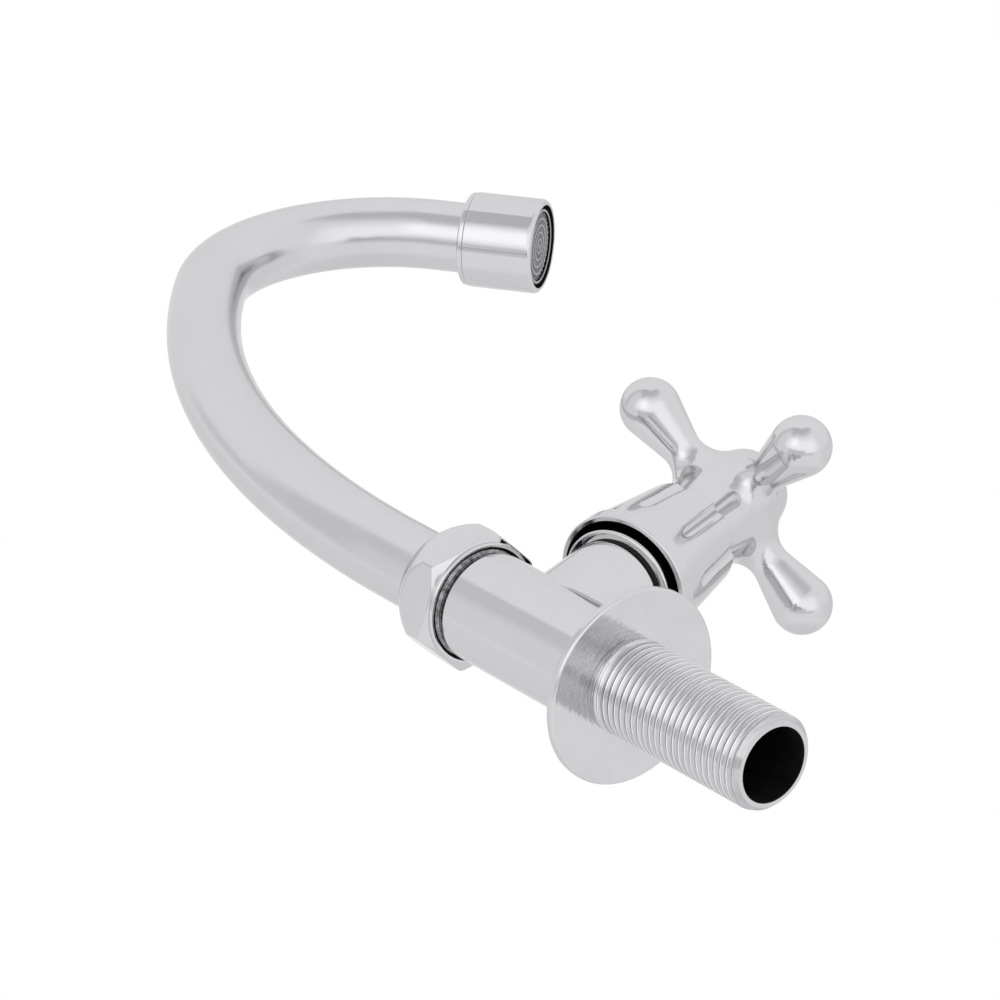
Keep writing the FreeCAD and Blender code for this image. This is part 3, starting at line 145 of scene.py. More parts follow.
class Sheet:
    """A node tree under construction."""

    NOISE_LOW = 0.3
    NOISE_HIGH = 0.7

    def __init__(self, tree: bpy.types.NodeTree) -> None:
        """Starts from an empty tree."""
        self.tree = tree
        tree.nodes.clear()

    def node(
        self,
        kind: str,
        settings: Optional[Dict[str, Any]] = None,
        inputs: Optional[Dict[Union[str, int], Any]] = None,
        output: Union[str, int] = 0,
    ) -> Wire:
        """Adds a node.

        Args:
            kind: the node's type.
            settings: what is set on the node itself, such as its operation.
            inputs: the values or wires of its sockets, by name or number.
            output: which output is wanted.

        Returns:
            The output, or an empty wire for a node that has none.
        """
        node = self.tree.nodes.new(kind)
        for name, value in (settings or {}).items():
            setattr(node, name, value)
        for name, value in (inputs or {}).items():
            if isinstance(value, Wire):
                self.tree.links.new(value.socket, node.inputs[name])
            else:
                node.inputs[name].default_value = value
        return Wire(self, node.outputs[output] if len(node.outputs) else None)

    def blend(self, factor: Any, first: Any, second: Any) -> Wire:
        """Mixes two colours, each a wire or four numbers."""
        return self.node("ShaderNodeMix", {"data_type": "RGBA"}, {0: factor, 6: first, 7: second}, 2)

    def noise(self, vector: Wire, scale: float, detail: float, roughness: float = 0.5) -> Wire:
        """Adds a noise texture and gives its level."""
        inputs = {"Vector": vector, "Scale": scale, "Detail": detail, "Roughness": roughness}
        return self.node("ShaderNodeTexNoise", None, inputs)

    def dot(self, vector: Wire, direction: Sequence[float]) -> Wire:
        """The part of a vector along a direction."""
        inputs = {0: vector, 1: tuple(direction)}
        return self.node("ShaderNodeVectorMath", {"operation": "DOT_PRODUCT"}, inputs, "Value")

    def fade(self, value: Wire, none: float, full: float) -> Wire:
        """Rises smoothly from 0 to 1 as a value goes from one number to another."""
        inputs = {"Value": value, "From Min": none, "From Max": full}
        return self.node("ShaderNodeMapRange", {"interpolation_type": "SMOOTHSTEP"}, inputs)

    def spread(self, noise: Wire, low: float, high: float) -> Wire:
        """Brings the span that a noise mostly fills between two levels.

        Args:
            noise: the noise's level.
            low: the level at the span's lower end.
            high: the level at its upper end.

        Returns:
            The new level.
        """
        inputs = {"Value": noise, "From Min": self.NOISE_LOW, "From Max": self.NOISE_HIGH}
        inputs.update({"To Min": low, "To Max": high})
        return self.node("ShaderNodeMapRange", None, inputs)


def rgba(colour: Colour) -> Tuple[float, float, float, float]:
    """A colour with full opacity."""
    return (colour[0], colour[1], colour[2], 1.0)


# Finishes


@dataclass(frozen=True)
class Finish:
    """A surface finish: two close tones, two close gloss levels and a fine relief."""

    name: str
    tone: Colour
    cloud_tone: Colour
    gloss: Tuple[float, float]
    cloud_scale: float
    metallic: float = 0.0
    relief_scale: float = 2500.0
    relief: float = 0.0
    relief_depth: float = 0.00002
    sheen: float = 0.5
    rim_tint: float = 1.0

    CLOUD_DETAIL = 4.0
    WEAR_FINENESS = 3.0
    WEAR_DETAIL = 5.0
    WEAR_ROUGHNESS = 0.6
    RELIEF_DETAIL = 2.0

    def material(self) -> bpy.types.Material:
        """Finds or makes the material.

        Returns:
            The material with its nodes.
        """
        known = bpy.data.materials.get(self.name)
        if known:
            return known
        material = bpy.data.materials.new(self.name)
        material.use_nodes = True
        material.diffuse_color = rgba(self.tone)
        sheet = Sheet(material.node_tree)
        sheet.node("ShaderNodeOutputMaterial", None, {"Surface": self.shader(sheet)})
        return material

    def shader(self, sheet: Sheet) -> Wire:
        """Lays out the shader.

        Args:
            sheet: the material's tree.

        Returns:
            The shader's output.
        """
        place = sheet.node("ShaderNodeTexCoord", None, None, "Object")
        inputs: Dict[Union[str, int], Any] = {
            "Base Color": self.colour(sheet, place),
            "Metallic": self.metallic,
            "Specular IOR Level": self.sheen,
            "Specular Tint": rgba((self.rim_tint, self.rim_tint, self.rim_tint)),
            "Roughness": sheet.spread(self.wear(sheet, place), self.gloss[0], self.gloss[1]),
        }
        if self.relief:
            height = self.height(sheet, place)
            bump = {"Strength": self.relief, "Distance": self.relief_depth, "Height": height}
            inputs["Normal"] = sheet.node("ShaderNodeBump", None, bump)
        return sheet.node("ShaderNodeBsdfPrincipled", None, inputs)

    def colour(self, sheet: Sheet, place: Wire) -> Wire:
        """The tone, which drifts to the cloud tone where the clouds are."""
        clouded = sheet.spread(self.clouds(sheet, place), 0.0, 1.0)
        return sheet.blend(clouded, rgba(self.tone), rgba(self.cloud_tone))

    def clouds(self, sheet: Sheet, place: Wire) -> Wire:
        """The level that varies the tone."""
        return sheet.noise(place, self.cloud_scale, self.CLOUD_DETAIL)

    def wear(self, sheet: Sheet, place: Wire) -> Wire:
        """The level that varies the gloss."""
        scale = self.cloud_scale * self.WEAR_FINENESS
        return sheet.noise(place, scale, self.WEAR_DETAIL, self.WEAR_ROUGHNESS)

    def height(self, sheet: Sheet, place: Wire) -> Wire:
        """The height of the fine relief."""
        return sheet.noise(place, self.relief_scale, self.RELIEF_DETAIL)


@dataclass(frozen=True)
class TurnedFinish(Finish):
    """A finish with the marks of a lathe's tool: fine rings about the barrel."""

    ring_scale: float = 3200.0
    ring_drift: float = 0.0006
    ring_roughness: float = 0.7

    RING_DETAIL = 4.0

    @staticmethod
    def radius(place: Wire) -> Wire:
        """The distance from the barrel's axis, for the parts of a place."""
        across, deep = place.beside("X"), place.beside("Y")
        return (across * across + deep * deep) ** 0.5

    def rings(self, sheet: Sheet, place: Wire) -> Wire:
        """Marks that run around the barrel.

        Args:
            sheet: the material's tree.
            place: the place on the object.

        Returns:
            A level that changes across the rings and hardly along them.
        """
        parts = sheet.node("ShaderNodeSeparateXYZ", None, {0: place})
        turn = parts.beside("Y").math("ARCTAN2", parts.beside("X")) * self.ring_drift
        inputs = {"X": self.radius(parts), "Y": parts.beside("Z"), "Z": turn}
        vector = sheet.node("ShaderNodeCombineXYZ", None, inputs)
        return sheet.noise(vector, self.ring_scale, self.RING_DETAIL, self.ring_roughness)

    def wear(self, sheet: Sheet, place: Wire) -> Wire:
        """The gloss follows the tool marks."""
        return self.rings(sheet, place)

    def height(self, sheet: Sheet, place: Wire) -> Wire:
        """The relief follows the tool marks."""
        return self.rings(sheet, place)


@dataclass(frozen=True)
class ThreadFinish(TurnedFinish):
    """A turned finish with painted light: the thread's crests are painted near white as a highlight, and the
    valleys keep a darker tone as painted shade.
    """

    crest_highlight_tone: Colour = (0.98, 0.98, 0.98)
    crest_start: float = 0.01036
    crest_end: float = 0.01045

    def clouds(self, sheet: Sheet, place: Wire) -> Wire:
        """The tone follows the tool marks."""
        return self.rings(sheet, place)

    def colour(self, sheet: Sheet, place: Wire) -> Wire:
        """The tone, with a painted highlight on the crests.

        Args:
            sheet: the material's tree.
            place: the place on the object.

        Returns:
            The colour.
        """
        valley = super().colour(sheet, place)
        radius = self.radius(sheet.node("ShaderNodeSeparateXYZ", None, {0: place}))
        # Painted highlight: near white where the radius reaches the crests.
        crest = sheet.fade(radius, self.crest_start, self.crest_end)
        return sheet.blend(crest, valley, rgba(self.crest_highlight_tone))


CHROME = Finish(
    "chrome_plate", (0.70, 0.70, 0.708), (0.68, 0.68, 0.688), (0.04, 0.08), 45.0, metallic=1.0, rim_tint=0.85
)
SATIN_CHROME = replace(CHROME, name="satin_chrome", gloss=(0.15, 0.21))
CAST_CHROME = replace(CHROME, name="cast_chrome", gloss=(0.09, 0.15))
TURNED_CHROME = TurnedFinish(
    "turned_chrome", (0.72, 0.72, 0.728), (0.68, 0.68, 0.688), (0.04, 0.10), 120.0, metallic=1.0,
    relief=0.8, relief_depth=0.00005, rim_tint=0.83, ring_scale=1500.0, ring_roughness=0.45,
)
# Painted highlight and shade on the thread: near-white crests, and a darker second tone that dims the valleys
# in streaks along the tool marks.
THREAD_CHROME = ThreadFinish(
    "thread_chrome", (0.70, 0.70, 0.708), (0.50, 0.50, 0.51), (0.05, 0.14), 120.0, metallic=1.0,
    relief=0.6, rim_tint=0.83,
)
# Painted shade: dark chrome, mottled near black, for the barrel's top edge and neck in the gap under the
# union nut.
GAP_SHADE_CHROME = TurnedFinish(
    "gap_shade_chrome", (0.42, 0.42, 0.43), (0.10, 0.10, 0.10), (0.12, 0.35), 900.0, metallic=1.0, relief=0.8
)
# Painted shade: near black, put on bores, gaps and hollows where shade falls, over the chrome or casting that
# is there.
PAINTED_SHADE = Finish(
    "painted_shade", (0.012, 0.011, 0.010), (0.004, 0.004, 0.004), (0.7, 0.9), 300.0,
    relief_scale=1500.0, relief=0.4, relief_depth=0.0001, sheen=0.15,
)
BRASS = Finish(
    "turned_brass", (0.78, 0.60, 0.32), (0.66, 0.49, 0.24), (0.18, 0.32), 150.0, metallic=1.0,
    relief_scale=3000.0, relief=0.1,
)
STEEL = Finish(
    "stainless_steel", (0.62, 0.62, 0.63), (0.52, 0.52, 0.53), (0.2, 0.35), 200.0, metallic=1.0,
    relief_scale=4000.0, relief=0.1,
)
RUBBER = Finish(
    "nitrile_rubber", (0.030, 0.030, 0.030), (0.018, 0.018, 0.018), (0.55, 0.75), 250.0,
    relief_scale=3000.0, relief=0.25, sheen=0.15,
)
WHITE_PLASTIC = Finish(
    "white_plastic", (0.86, 0.86, 0.84), (0.80, 0.80, 0.77), (0.35, 0.5), 150.0, relief=0.1
)
GREY_PLASTIC = Finish(
    "grey_plastic", (0.42, 0.42, 0.43), (0.34, 0.34, 0.35), (0.35, 0.5), 400.0,
    relief_scale=3500.0, relief=0.15,
)
BLUE_PLASTIC = Finish(
    "blue_plastic", (0.04, 0.16, 0.55), (0.03, 0.13, 0.48), (0.12, 0.22), 200.0, relief=0.05
)


# Outlines and skins


@dataclass(frozen=True)
class Axis:
    """A place and three square directions in the part's frame, in millimetres."""

    origin: Point = (0.0, 0.0, 0.0)
    x: Point = (1.0, 0.0, 0.0)
    y: Point = (0.0, 1.0, 0.0)
    z: Point = (0.0, 0.0, 1.0)

    def directions(self, local: Array) -> Array:
        """Turns local directions into the part's frame."""
        return local @ np.array([self.x, self.y, self.z])

    def points(self, local: Array) -> Array:
        """Brings local points into the part's frame."""
        return np.array(self.origin) + self.directions(local)

    def turned(self, angle: float) -> "Axis":
        """The same axis turned about its own z.

        Args:
            angle: the turn in radians.

        Returns:
            The turned axis.
        """
        x = self.directions(np.array([math.cos(angle), math.sin(angle), 0.0]))
        y = self.directions(np.array([-math.sin(angle), math.cos(angle), 0.0]))
        return Axis(self.origin, tuple(x), tuple(y), self.z)


@dataclass(frozen=True)
class Corner:
    """A corner of an outline that is turned about an axis, with the solid on the left of travel.

    across is the distance from the axis and along the place on it. edge rounds the corner. bulge is the
    radius of the arc that leads here, below zero for a hollow one. finish is that of the run that leads here,
    the piece's own where none is named.
    """

    across: float
    along: float
    edge: float = 0.0
    bulge: float = 0.0
    finish: Optional[Finish] = None


def shaded(across: float, along: float, edge: float = 0.0) -> Corner:
    """A corner at the end of a run that is painted near black, as shade in bores, gaps and hollows."""
    return Corner(across, along, edge, finish=PAINTED_SHADE)


@dataclass
class Run:
    """Rows along an outline: across, along and the normal's two parts."""

    rows: Array
    finish: Optional[Finish]


def left_of(direction: Array) -> Array:
    """The direction a quarter turn to the left."""
    return np.array([-direction[1], direction[0]])


def swung(direction: Array, angle: float) -> Array:
    """A flat direction turned to the left by an angle."""
    return direction * math.cos(angle) + left_of(direction) * math.sin(angle)


class Outline:
    """Splits an outline into straight runs, arcs and rounded edges with true normals."""

    ARC_STEP = math.radians(3.0)
    EDGE_STEP = math.radians(15.0)
    LEAST_ROWS = 3

    def __init__(self, corners: Sequence[Corner], closed: bool = False, step: float = math.inf) -> None:
        """Keeps the corners.

        Args:
            corners: the outline.
            closed: whether the last corner leads back to the first.
            step: the longest piece of a straight run.
        """
        self.corners = list(corners) + ([corners[0]] if closed else [])
        self.closed = closed
        self.step = step

    def legs(self) -> List[Leg]:
        """The way between corners.

        Returns:
            For each leg its two ends, its first and last direction and the angle that it turns by.
        """
        legs = []
        for first, last in zip(self.corners[:-1], self.corners[1:]):
            start = np.array([first.across, first.along])
            end = np.array([last.across, last.along])
            chord = end - start
            length = float(np.hypot(*chord))
            heading = chord / length
            half = math.asin(length / 2.0 / last.bulge) if last.bulge else 0.0
            legs.append((start, end, swung(heading, -half), swung(heading, half), 2.0 * half))
        return legs

    def runs(self) -> List[Run]:
        """Works out the rows.

        Returns:
            The runs in order, each sharing its end rows with its neighbours.
        """
        legs = self.legs()
        count = len(legs)
        trims = [0.0] * (count + 1)
        turns = [0.0] * (count + 1)
        for index in range(count + 1):
            if index in (0, count) and not self.closed:
                continue
            before = legs[index - 1][3]
            after = legs[index % count][2]
            turns[index] = math.atan2(before[0] * after[1] - before[1] * after[0], float(before @ after))
            trims[index] = self.corners[index].edge * math.tan(abs(turns[index]) / 2.0)
        runs = []
        for index, leg in enumerate(legs):
            corner = self.corners[index + 1]
            rows = self.leg_rows(leg, trims[index], trims[index + 1], corner.bulge)
            runs.append(Run(rows, corner.finish))
        return runs + self.edge_runs(runs, trims, turns)

    def leg_rows(self, leg: Leg, first_trim: float, last_trim: float, bulge: float) -> Array:
        """The rows of one leg between its rounded edges.

        Args:
            leg: the leg as legs gives it.
            first_trim: the length that the first edge takes.
            last_trim: the length that the last edge takes.
            bulge: the leg's radius, or zero.

        Returns:
            The rows.
        """
        start, end, heading, _, turn = leg
        if not bulge:
            first = start + heading * first_trim
            last = end - heading * last_trim
            pieces = max(1, math.ceil(float(np.hypot(*(last - first))) / self.step))
            shares = np.linspace(0.0, 1.0, pieces + 1)[:, None]
            places = first + (last - first) * shares
            normals = np.repeat(-left_of(heading)[None, :], pieces + 1, 0)
            return np.hstack([places, normals])
        centre = start + left_of(heading) * bulge
        count = max(self.LEAST_ROWS, math.ceil(abs(turn) / self.ARC_STEP))
        angles = np.linspace(first_trim / bulge, turn - last_trim / bulge, count)
        normals = np.array([-left_of(swung(heading, angle)) for angle in angles])
        return np.hstack([centre + normals * bulge, normals])

    def edge_runs(self, runs: List[Run], trims: List[float], turns: List[float]) -> List[Run]:
        """The rounded edges between the runs.

        Args:
            runs: the runs between the edges.
            trims: the length that each edge takes of its legs.
            turns: the angle that the outline turns by at each corner.

        Returns:
            One run for each edge that is rounded.
        """
        edges = []
        for index in range(0 if self.closed else 1, len(runs)):
            radius = self.corners[index].edge
            if not trims[index]:
                continue
            before = runs[index - 1].rows[-1]
            after = runs[index].rows[0]
            heading = left_of(before[2:])
            sign = math.copysign(1.0, turns[index])
            centre = before[:2] - before[2:] * radius * sign
            count = max(self.LEAST_ROWS, math.ceil(abs(turns[index]) / self.EDGE_STEP) + 1)
            angles = np.linspace(0.0, turns[index], count)
            normals = np.array([-left_of(swung(heading, angle)) for angle in angles])
            rows = np.hstack([centre + normals * radius * sign, normals])
            rows[0] = before
            rows[-1] = after
            edges.append(Run(rows, runs[index - 1].finish))
        return edges


class Skin:
    """Collects patches of points with their normals and makes one clean mesh of them."""

    MERGE = 0.001
    MERGE_SHIFT = 0.317
    PROBE = 0.01
    LEAST_CORNERS = 3

    def __init__(self, finish: Finish) -> None:
        """Starts empty.

        Args:
            finish: the piece's own finish, which comes first.
        """
        self.finishes = [finish]
        self.points: List[Array] = []
        self.normals: List[Array] = []
        self.quads: List[Array] = []
        self.numbers: List[Array] = []
        self.count = 0

    def patch(self, points: Array, normals: Array, finish: Optional[Finish] = None) -> None:
        """Adds a grid of points.

        Args:
            points: rows by columns by three, in millimetres of the part's frame.
            normals: as many outward normals.
            finish: the grid's finish, the piece's own where none is named.
        """
        finish = finish or self.finishes[0]
        if finish not in self.finishes:
            self.finishes.append(finish)
        rows, columns = points.shape[:2]
        index = np.arange(rows * columns).reshape(rows, columns) + self.count
        quads = np.stack([index[:-1, :-1], index[:-1, 1:], index[1:, 1:], index[1:, :-1]], -1).reshape(-1, 4)
        self.points.append(points.reshape(-1, 3))
        self.normals.append(normals.reshape(-1, 3))
        self.quads.append(quads)
        self.numbers.append(np.full(len(quads), self.finishes.index(finish)))
        self.count += rows * columns

    def turn(
        self,
        axis: Axis,
        outline: Outline,
        angles: Array,
        carve: Optional[Carve] = None,
        soften: float = 1.0,
    ) -> None:
        """Turns an outline about an axis.

        Args:
            axis: the axis.
            outline: the outline.
            angles: the columns, the last one a full turn after the first.
            carve: the distance from the axis that a cut leaves, by angle and place.
            soften: the width of the rounded border of the cut.
        """
        for run in outline.runs():
            across, along, out, up = (np.repeat(part[:, None], len(angles), 1) for part in run.rows.T)
            turn = np.repeat(angles[None, :], len(across), 0)
            normal = np.stack([out, np.zeros_like(out), up], -1)
            if carve is not None:
                limit = carve(turn, along)
                share = np.clip(0.5 + 0.5 * (limit - across) / soften, 0.0, 1.0)
                across = limit + (across - limit) * share - soften * share * (1.0 - share)
                cut = self.slope(carve, turn, along)
                normal = normal * share[..., None] + cut * (1.0 - share[..., None])
                normal /= np.linalg.norm(normal, axis=-1, keepdims=True)
            self.ring(axis, across, turn, along, normal, run.finish)

    def wall(self, axis: Axis, radius: float, first: Any, last: Any, angles: Array, rows: int) -> None:
        """Adds a round wall between two borders.

        Args:
            axis: the axis.
            radius: the wall's distance from it.
            first: the place of the lower border, one for all columns or one for each.
            last: the place of the upper border.
            angles: the columns.
            rows: the number of rows.
        """
        along = first + (last - first) * np.linspace(0.0, 1.0, rows)[:, None]
        turn = np.repeat(angles[None, :], rows, 0)
        normal = np.zeros(along.shape + (3,))
        normal[..., 0] = 1.0
        self.ring(axis, np.full(along.shape, radius), turn, along, normal)

    def slope(self, radius: Carve, turn: Array, along: Array) -> Array:
        """The normal of a surface that is given by its distance from an axis.

        Args:
            radius: the distance, by angle and place.
            turn: the angles.
            along: the places.

        Returns:
            The normals' outward, sideways and along parts.
        """
        step = self.PROBE
        here = radius(turn, along)
        sideways = (radius(turn + step / here, along) - radius(turn - step / here, along)) / (2.0 * step)
        lengthways = (radius(turn, along + step) - radius(turn, along - step)) / (2.0 * step)
        normal = np.stack([np.ones_like(here), -sideways, -lengthways], -1)
        return normal / np.linalg.norm(normal, axis=-1, keepdims=True)

    def ring(
        self,
        axis: Axis,
        across: Array,
        turn: Array,
        along: Array,
        normal: Array,
        finish: Optional[Finish] = None,
    ) -> None:
        """Adds a grid that is given around an axis.

        Args:
            axis: the axis.
            across: distances from it.
            turn: angles about it.
            along: places on it.
            normal: the normals' outward, sideways and along parts.
            finish: the grid's finish, the piece's own where none is named.
        """
        cosine = np.cos(turn)
        sine = np.sin(turn)
        local = np.stack([across * cosine, across * sine, along], -1)
        out, side, up = normal[..., 0], normal[..., 1], normal[..., 2]
        facing = np.stack([out * cosine - side * sine, out * sine + side * cosine, up], -1)
        self.patch(axis.points(local), axis.directions(facing), finish)

    def block(self, axis: Axis, low: Point, high: Point) -> None:
        """Adds a small square bar.

        Args:
            axis: the axis that its sides follow.
            low: its lowest corner on that axis.
            high: its highest corner.
        """
        corners = np.array([low, high])
        for part in range(3):
            for side in range(2):
                others = [other for other in range(3) if other != part]
                local = np.zeros((2, 2, 3))
                local[..., part] = corners[side, part]
                local[..., others[0]] = corners[:, others[0]][:, None]
                local[..., others[1]] = corners[:, others[1]][None, :]
                facing = np.zeros((2, 2, 3))
                facing[..., part] = 2.0 * side - 1.0
                self.patch(axis.points(local), axis.directions(facing))

    def build(self, name: str) -> bpy.types.Object:
        """Makes the mesh: merges shared points, drops empty faces and keeps the true normals.

        Args:
            name: the piece's name.

        Returns:
            The new object.
        """
        points = np.concatenate(self.points)
        normals = np.concatenate(self.normals)
        quads = np.concatenate(self.quads)
        numbers = np.concatenate(self.numbers)
        keys = np.round(points / self.MERGE + self.MERGE_SHIFT).astype(np.int64)
        _, first, same = np.unique(keys, axis=0, return_index=True, return_inverse=True)
        ways = points[quads[:, 2:]] - points[quads[:, :2]]
        facing = np.cross(ways[:, 0], ways[:, 1])
        turned = np.einsum("ij,ij->i", facing, normals[quads].sum(1)) < 0.0
        quads[turned] = quads[turned][:, ::-1]
        corners = same.reshape(-1)[quads]
        kept = corners != np.roll(corners, 1, axis=1)
        whole = kept.sum(1) >= self.LEAST_CORNERS
        kept &= whole[:, None]
        used, loops = np.unique(corners[kept], return_inverse=True)
        ends = np.cumsum(kept[whole].sum(1))
        faces = [part.tolist() for part in np.split(loops.reshape(-1), ends[:-1])]
        mesh = bpy.data.meshes.new(name)
        mesh.from_pydata((points[first[used]] * MM).tolist(), [], faces)
        mesh.polygons.foreach_set("use_smooth", np.ones(len(faces), dtype=bool))
        mesh.polygons.foreach_set("material_index", numbers[whole].astype(np.int32))
        for finish in self.finishes:
            mesh.materials.append(finish.material())
        mesh.normals_split_custom_set(normals[quads[kept]].tolist())
        mesh.update()
        piece = bpy.data.objects.new(name, mesh)
        bpy.context.scene.collection.objects.link(piece)
        return piece


def full_turn(count: int, start: float = 0.0) -> Array:
    """Even columns around an axis, the last one over the first."""
    return start + np.linspace(0.0, FULL_TURN, count + 1)


def flats_distance(half: float, count: int, turn: Array) -> Array:
    """The distance from an axis to the flats of a nut.

    Args:
        half: half the width over two flats.
        count: the number of flats.
        turn: angles from a corner between two flats.

    Returns:
        The distances.
    """
    sector = FULL_TURN / count
    return half / np.cos(np.mod(turn, sector) - sector / 2.0)


def settle(piece: bpy.types.Object, body: Body, node: str) -> None:
    """Puts a piece in a node's place.

    Args:
        piece: the new piece.
        body: the body that it moves with.
        node: the node that it stands for.
    """
    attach(piece, body.value)
    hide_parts(node)
    LOG.info("%s stands for %s on %s: %d faces", piece.name, node, body.value, len(piece.data.polygons))


def branch_axis() -> Axis:
    """Finds the valve branch's axis.

    Returns:
        The axis of the handle's joint.
    """
    joint = next(one for one in frame["record"]["behaviour"]["joints"] if one["name"] == "handle_turn")
    origin = tuple(part / MM for part in joint["pos_m"])
    z = tuple(joint["axis"])
    return Axis(origin, (1.0, 0.0, 0.0), (0.0, z[2], -z[1]), z)


# Sub-assemblies


@dataclass
class TapBody:
    """The casting: threaded shank, deck flange, barrel, valve branch and the neck for the union nut."""

    inlet_bore: float = 8.0
    inlet_top: float = 31.75
    shank_end: float = -43.35
    shank_edge: float = 0.25
    lead: float = 1.35
    lead_across: float = 9.13
    thread_top: float = -0.25
    corner_round: float = 0.2
    crest: float = 10.48
    pitch: float = 1.814
    thread_depth: float = 0.42
    crest_round: float = 0.12
    thread_rows: int = 20
    spare_turns: int = 2
    runout_slope: float = 1.5
    flange: float = 21.65
    flange_height: float = 2.0
    flange_edge: float = 0.6
    barrel: float = 12.35
    foot_round: float = 0.8
    barrel_top: float = 49.25
    barrel_edge: float = 0.6
    barrel_taper: float = 0.9
    ring_top: float = 50.2
    relief: float = 11.45
    neck: float = 12.45
    neck_edge: float = 0.6
    neck_top: float = 60.75
    broken_edge: float = 0.1
    spout_bore: float = 8.6
    spout_floor: float = 38.75
    bore_lead: float = 0.5
    branch: float = 11.65
    branch_length: float = 26.6
    branch_edge: float = 1.3
    branch_round: float = 0.15
    bonnet_bore: float = 9.6
    bonnet_floor: float = 17.4
    chamber: float = 9.1
    seat_top: float = 12.5
    seat_hole: float = 5.0
    seat_floor: float = 10.5
    columns: int = 192
    wall_rows: int = 12
    axis: Axis = Axis(x=(0.0, -1.0, 0.0), y=(1.0, 0.0, 0.0))

    def build(self) -> None:
        """Builds the casting in place of its node."""
        skin = Skin(CHROME)
        angles = self.barrel_angles()
        self.add_shank(skin, angles)
        self.add_flange(skin, angles)
        self.add_barrel(skin, angles)
        self.add_branch(skin)
        self.add_neck(skin, angles)
        settle(skin.build("tap_casting"), Body.TAP, "tap_body")

    def barrel_angles(self) -> Array:
        """Spaces the barrel's columns.

        Returns:
            The angles: in front they follow the branch's columns, behind they are even.
        """
        half = self.columns // 2
        front = np.arcsin(self.branch * np.cos(np.linspace(math.pi, 0.0, half + 1)) / self.barrel)
        back = np.linspace(front[-1], FULL_TURN + front[0], half + 1)
        return np.concatenate([front, back[1:]])

    def thread(self, turn: Array, along: Array) -> Array:
        """The shank's radius with its right-hand thread, its lead and its run-out.

        Args:
            turn: angles about the barrel.
            along: heights.

        Returns:
            The radius.
        """
        phase = along / self.pitch - turn / FULL_TURN
        offset = np.abs(phase - np.round(phase)) * self.pitch
        reach = np.hypot(self.pitch / 2.0, self.crest_round) - self.crest_round
        valley = 1.0 - (np.hypot(offset, self.crest_round) - self.crest_round) / reach
        radius = self.crest - self.thread_depth * (1.0 - valley * valley)
        lead = self.lead_across + (along - self.shank_end) * (self.crest - self.lead_across) / self.lead
        runout = self.crest - (self.thread_top - along) * self.runout_slope
        return np.minimum(np.maximum(radius, runout), lead)

    def add_shank(self, skin: Skin, angles: Array) -> None:
        """Adds the inlet bore, the shank's end and its thread.

        Args:
            skin: the casting's skin.
            angles: the barrel's columns.
        """
        bore = [
            Corner(0.0, self.inlet_top),
            shaded(self.inlet_bore, self.inlet_top),
            shaded(self.inlet_bore, self.shank_end, self.shank_edge),
            Corner(self.lead_across, self.shank_end, finish=TURNED_CHROME),
        ]
        skin.turn(self.axis, Outline(bore), angles)
        turns = math.ceil((self.thread_top - self.shank_end) / self.pitch) + self.spare_turns
        rows = np.arange(-self.spare_turns * self.thread_rows, turns * self.thread_rows)
        rises = rows * self.pitch / self.thread_rows
        along = self.shank_end + rises[:, None] + self.pitch * angles[None, :] / FULL_TURN
        along = np.clip(along, self.shank_end, self.thread_top)
        turn = np.repeat(angles[None, :], len(along), 0)
        normal = skin.slope(self.thread, turn, along)
        skin.ring(self.axis, self.thread(turn, along), turn, along, normal, THREAD_CHROME)

    def add_flange(self, skin: Skin, angles: Array) -> None:
        """Adds the deck flange with the rounded corner under it.

        Args:
            skin: the casting's skin.
            angles: the barrel's columns.
        """
        outline = [
            Corner(self.crest, self.thread_top),
            Corner(self.crest, 0.0, self.corner_round, finish=TURNED_CHROME),
            Corner(self.flange, 0.0, self.flange_edge, finish=TURNED_CHROME),
            Corner(self.flange, self.flange_height, self.flange_edge),
            Corner(self.barrel, self.flange_height, self.foot_round),
            Corner(self.barrel, self.flange_height + self.foot_round),
        ]
        skin.turn(self.axis, Outline(outline), angles)

    def crease(self, turn: Array, side: float) -> Array:
        """The height of the crease between barrel and branch.

        Args:
            turn: angles about the barrel, from the branch's side.
            side: 1 for the upper half of the crease, -1 for the lower half.

        Returns:
            The heights, at the crease's ends where the branch doesn't reach.
        """
        branch = branch_axis()
        across = np.clip(self.barrel * np.sin(turn) / self.branch, -1.0, 1.0)
        lift = self.branch * np.sqrt(1.0 - across * across) * side
        depth = np.sqrt(self.barrel**2 - (self.branch * across) ** 2)
        tilt_cosine = -branch.z[1]
        tilt_sine = branch.z[2]
        reach = (lift * tilt_sine + depth) / tilt_cosine
        return branch.origin[2] + reach * tilt_sine + lift * tilt_cosine

    def add_barrel(self, skin: Skin, angles: Array) -> None:
        """Adds the barrel's wall, below and above the branch.

        Args:
            skin: the casting's skin.
            angles: the barrel's columns.
        """
        half = self.columns // 2
        ends = self.crease(angles[half : half + 1], 1.0)[0]
        low = np.full(len(angles), ends)
        high = np.full(len(angles), ends)
        low[1:half] = self.crease(angles[1:half], -1.0)
        high[1:half] = self.crease(angles[1:half], 1.0)
        bottom = self.flange_height + self.foot_round
        top = self.barrel_top - self.barrel_taper
        skin.wall(self.axis, self.barrel, bottom, low, angles, self.wall_rows)
        skin.wall(self.axis, self.barrel, high, top, angles, self.wall_rows)

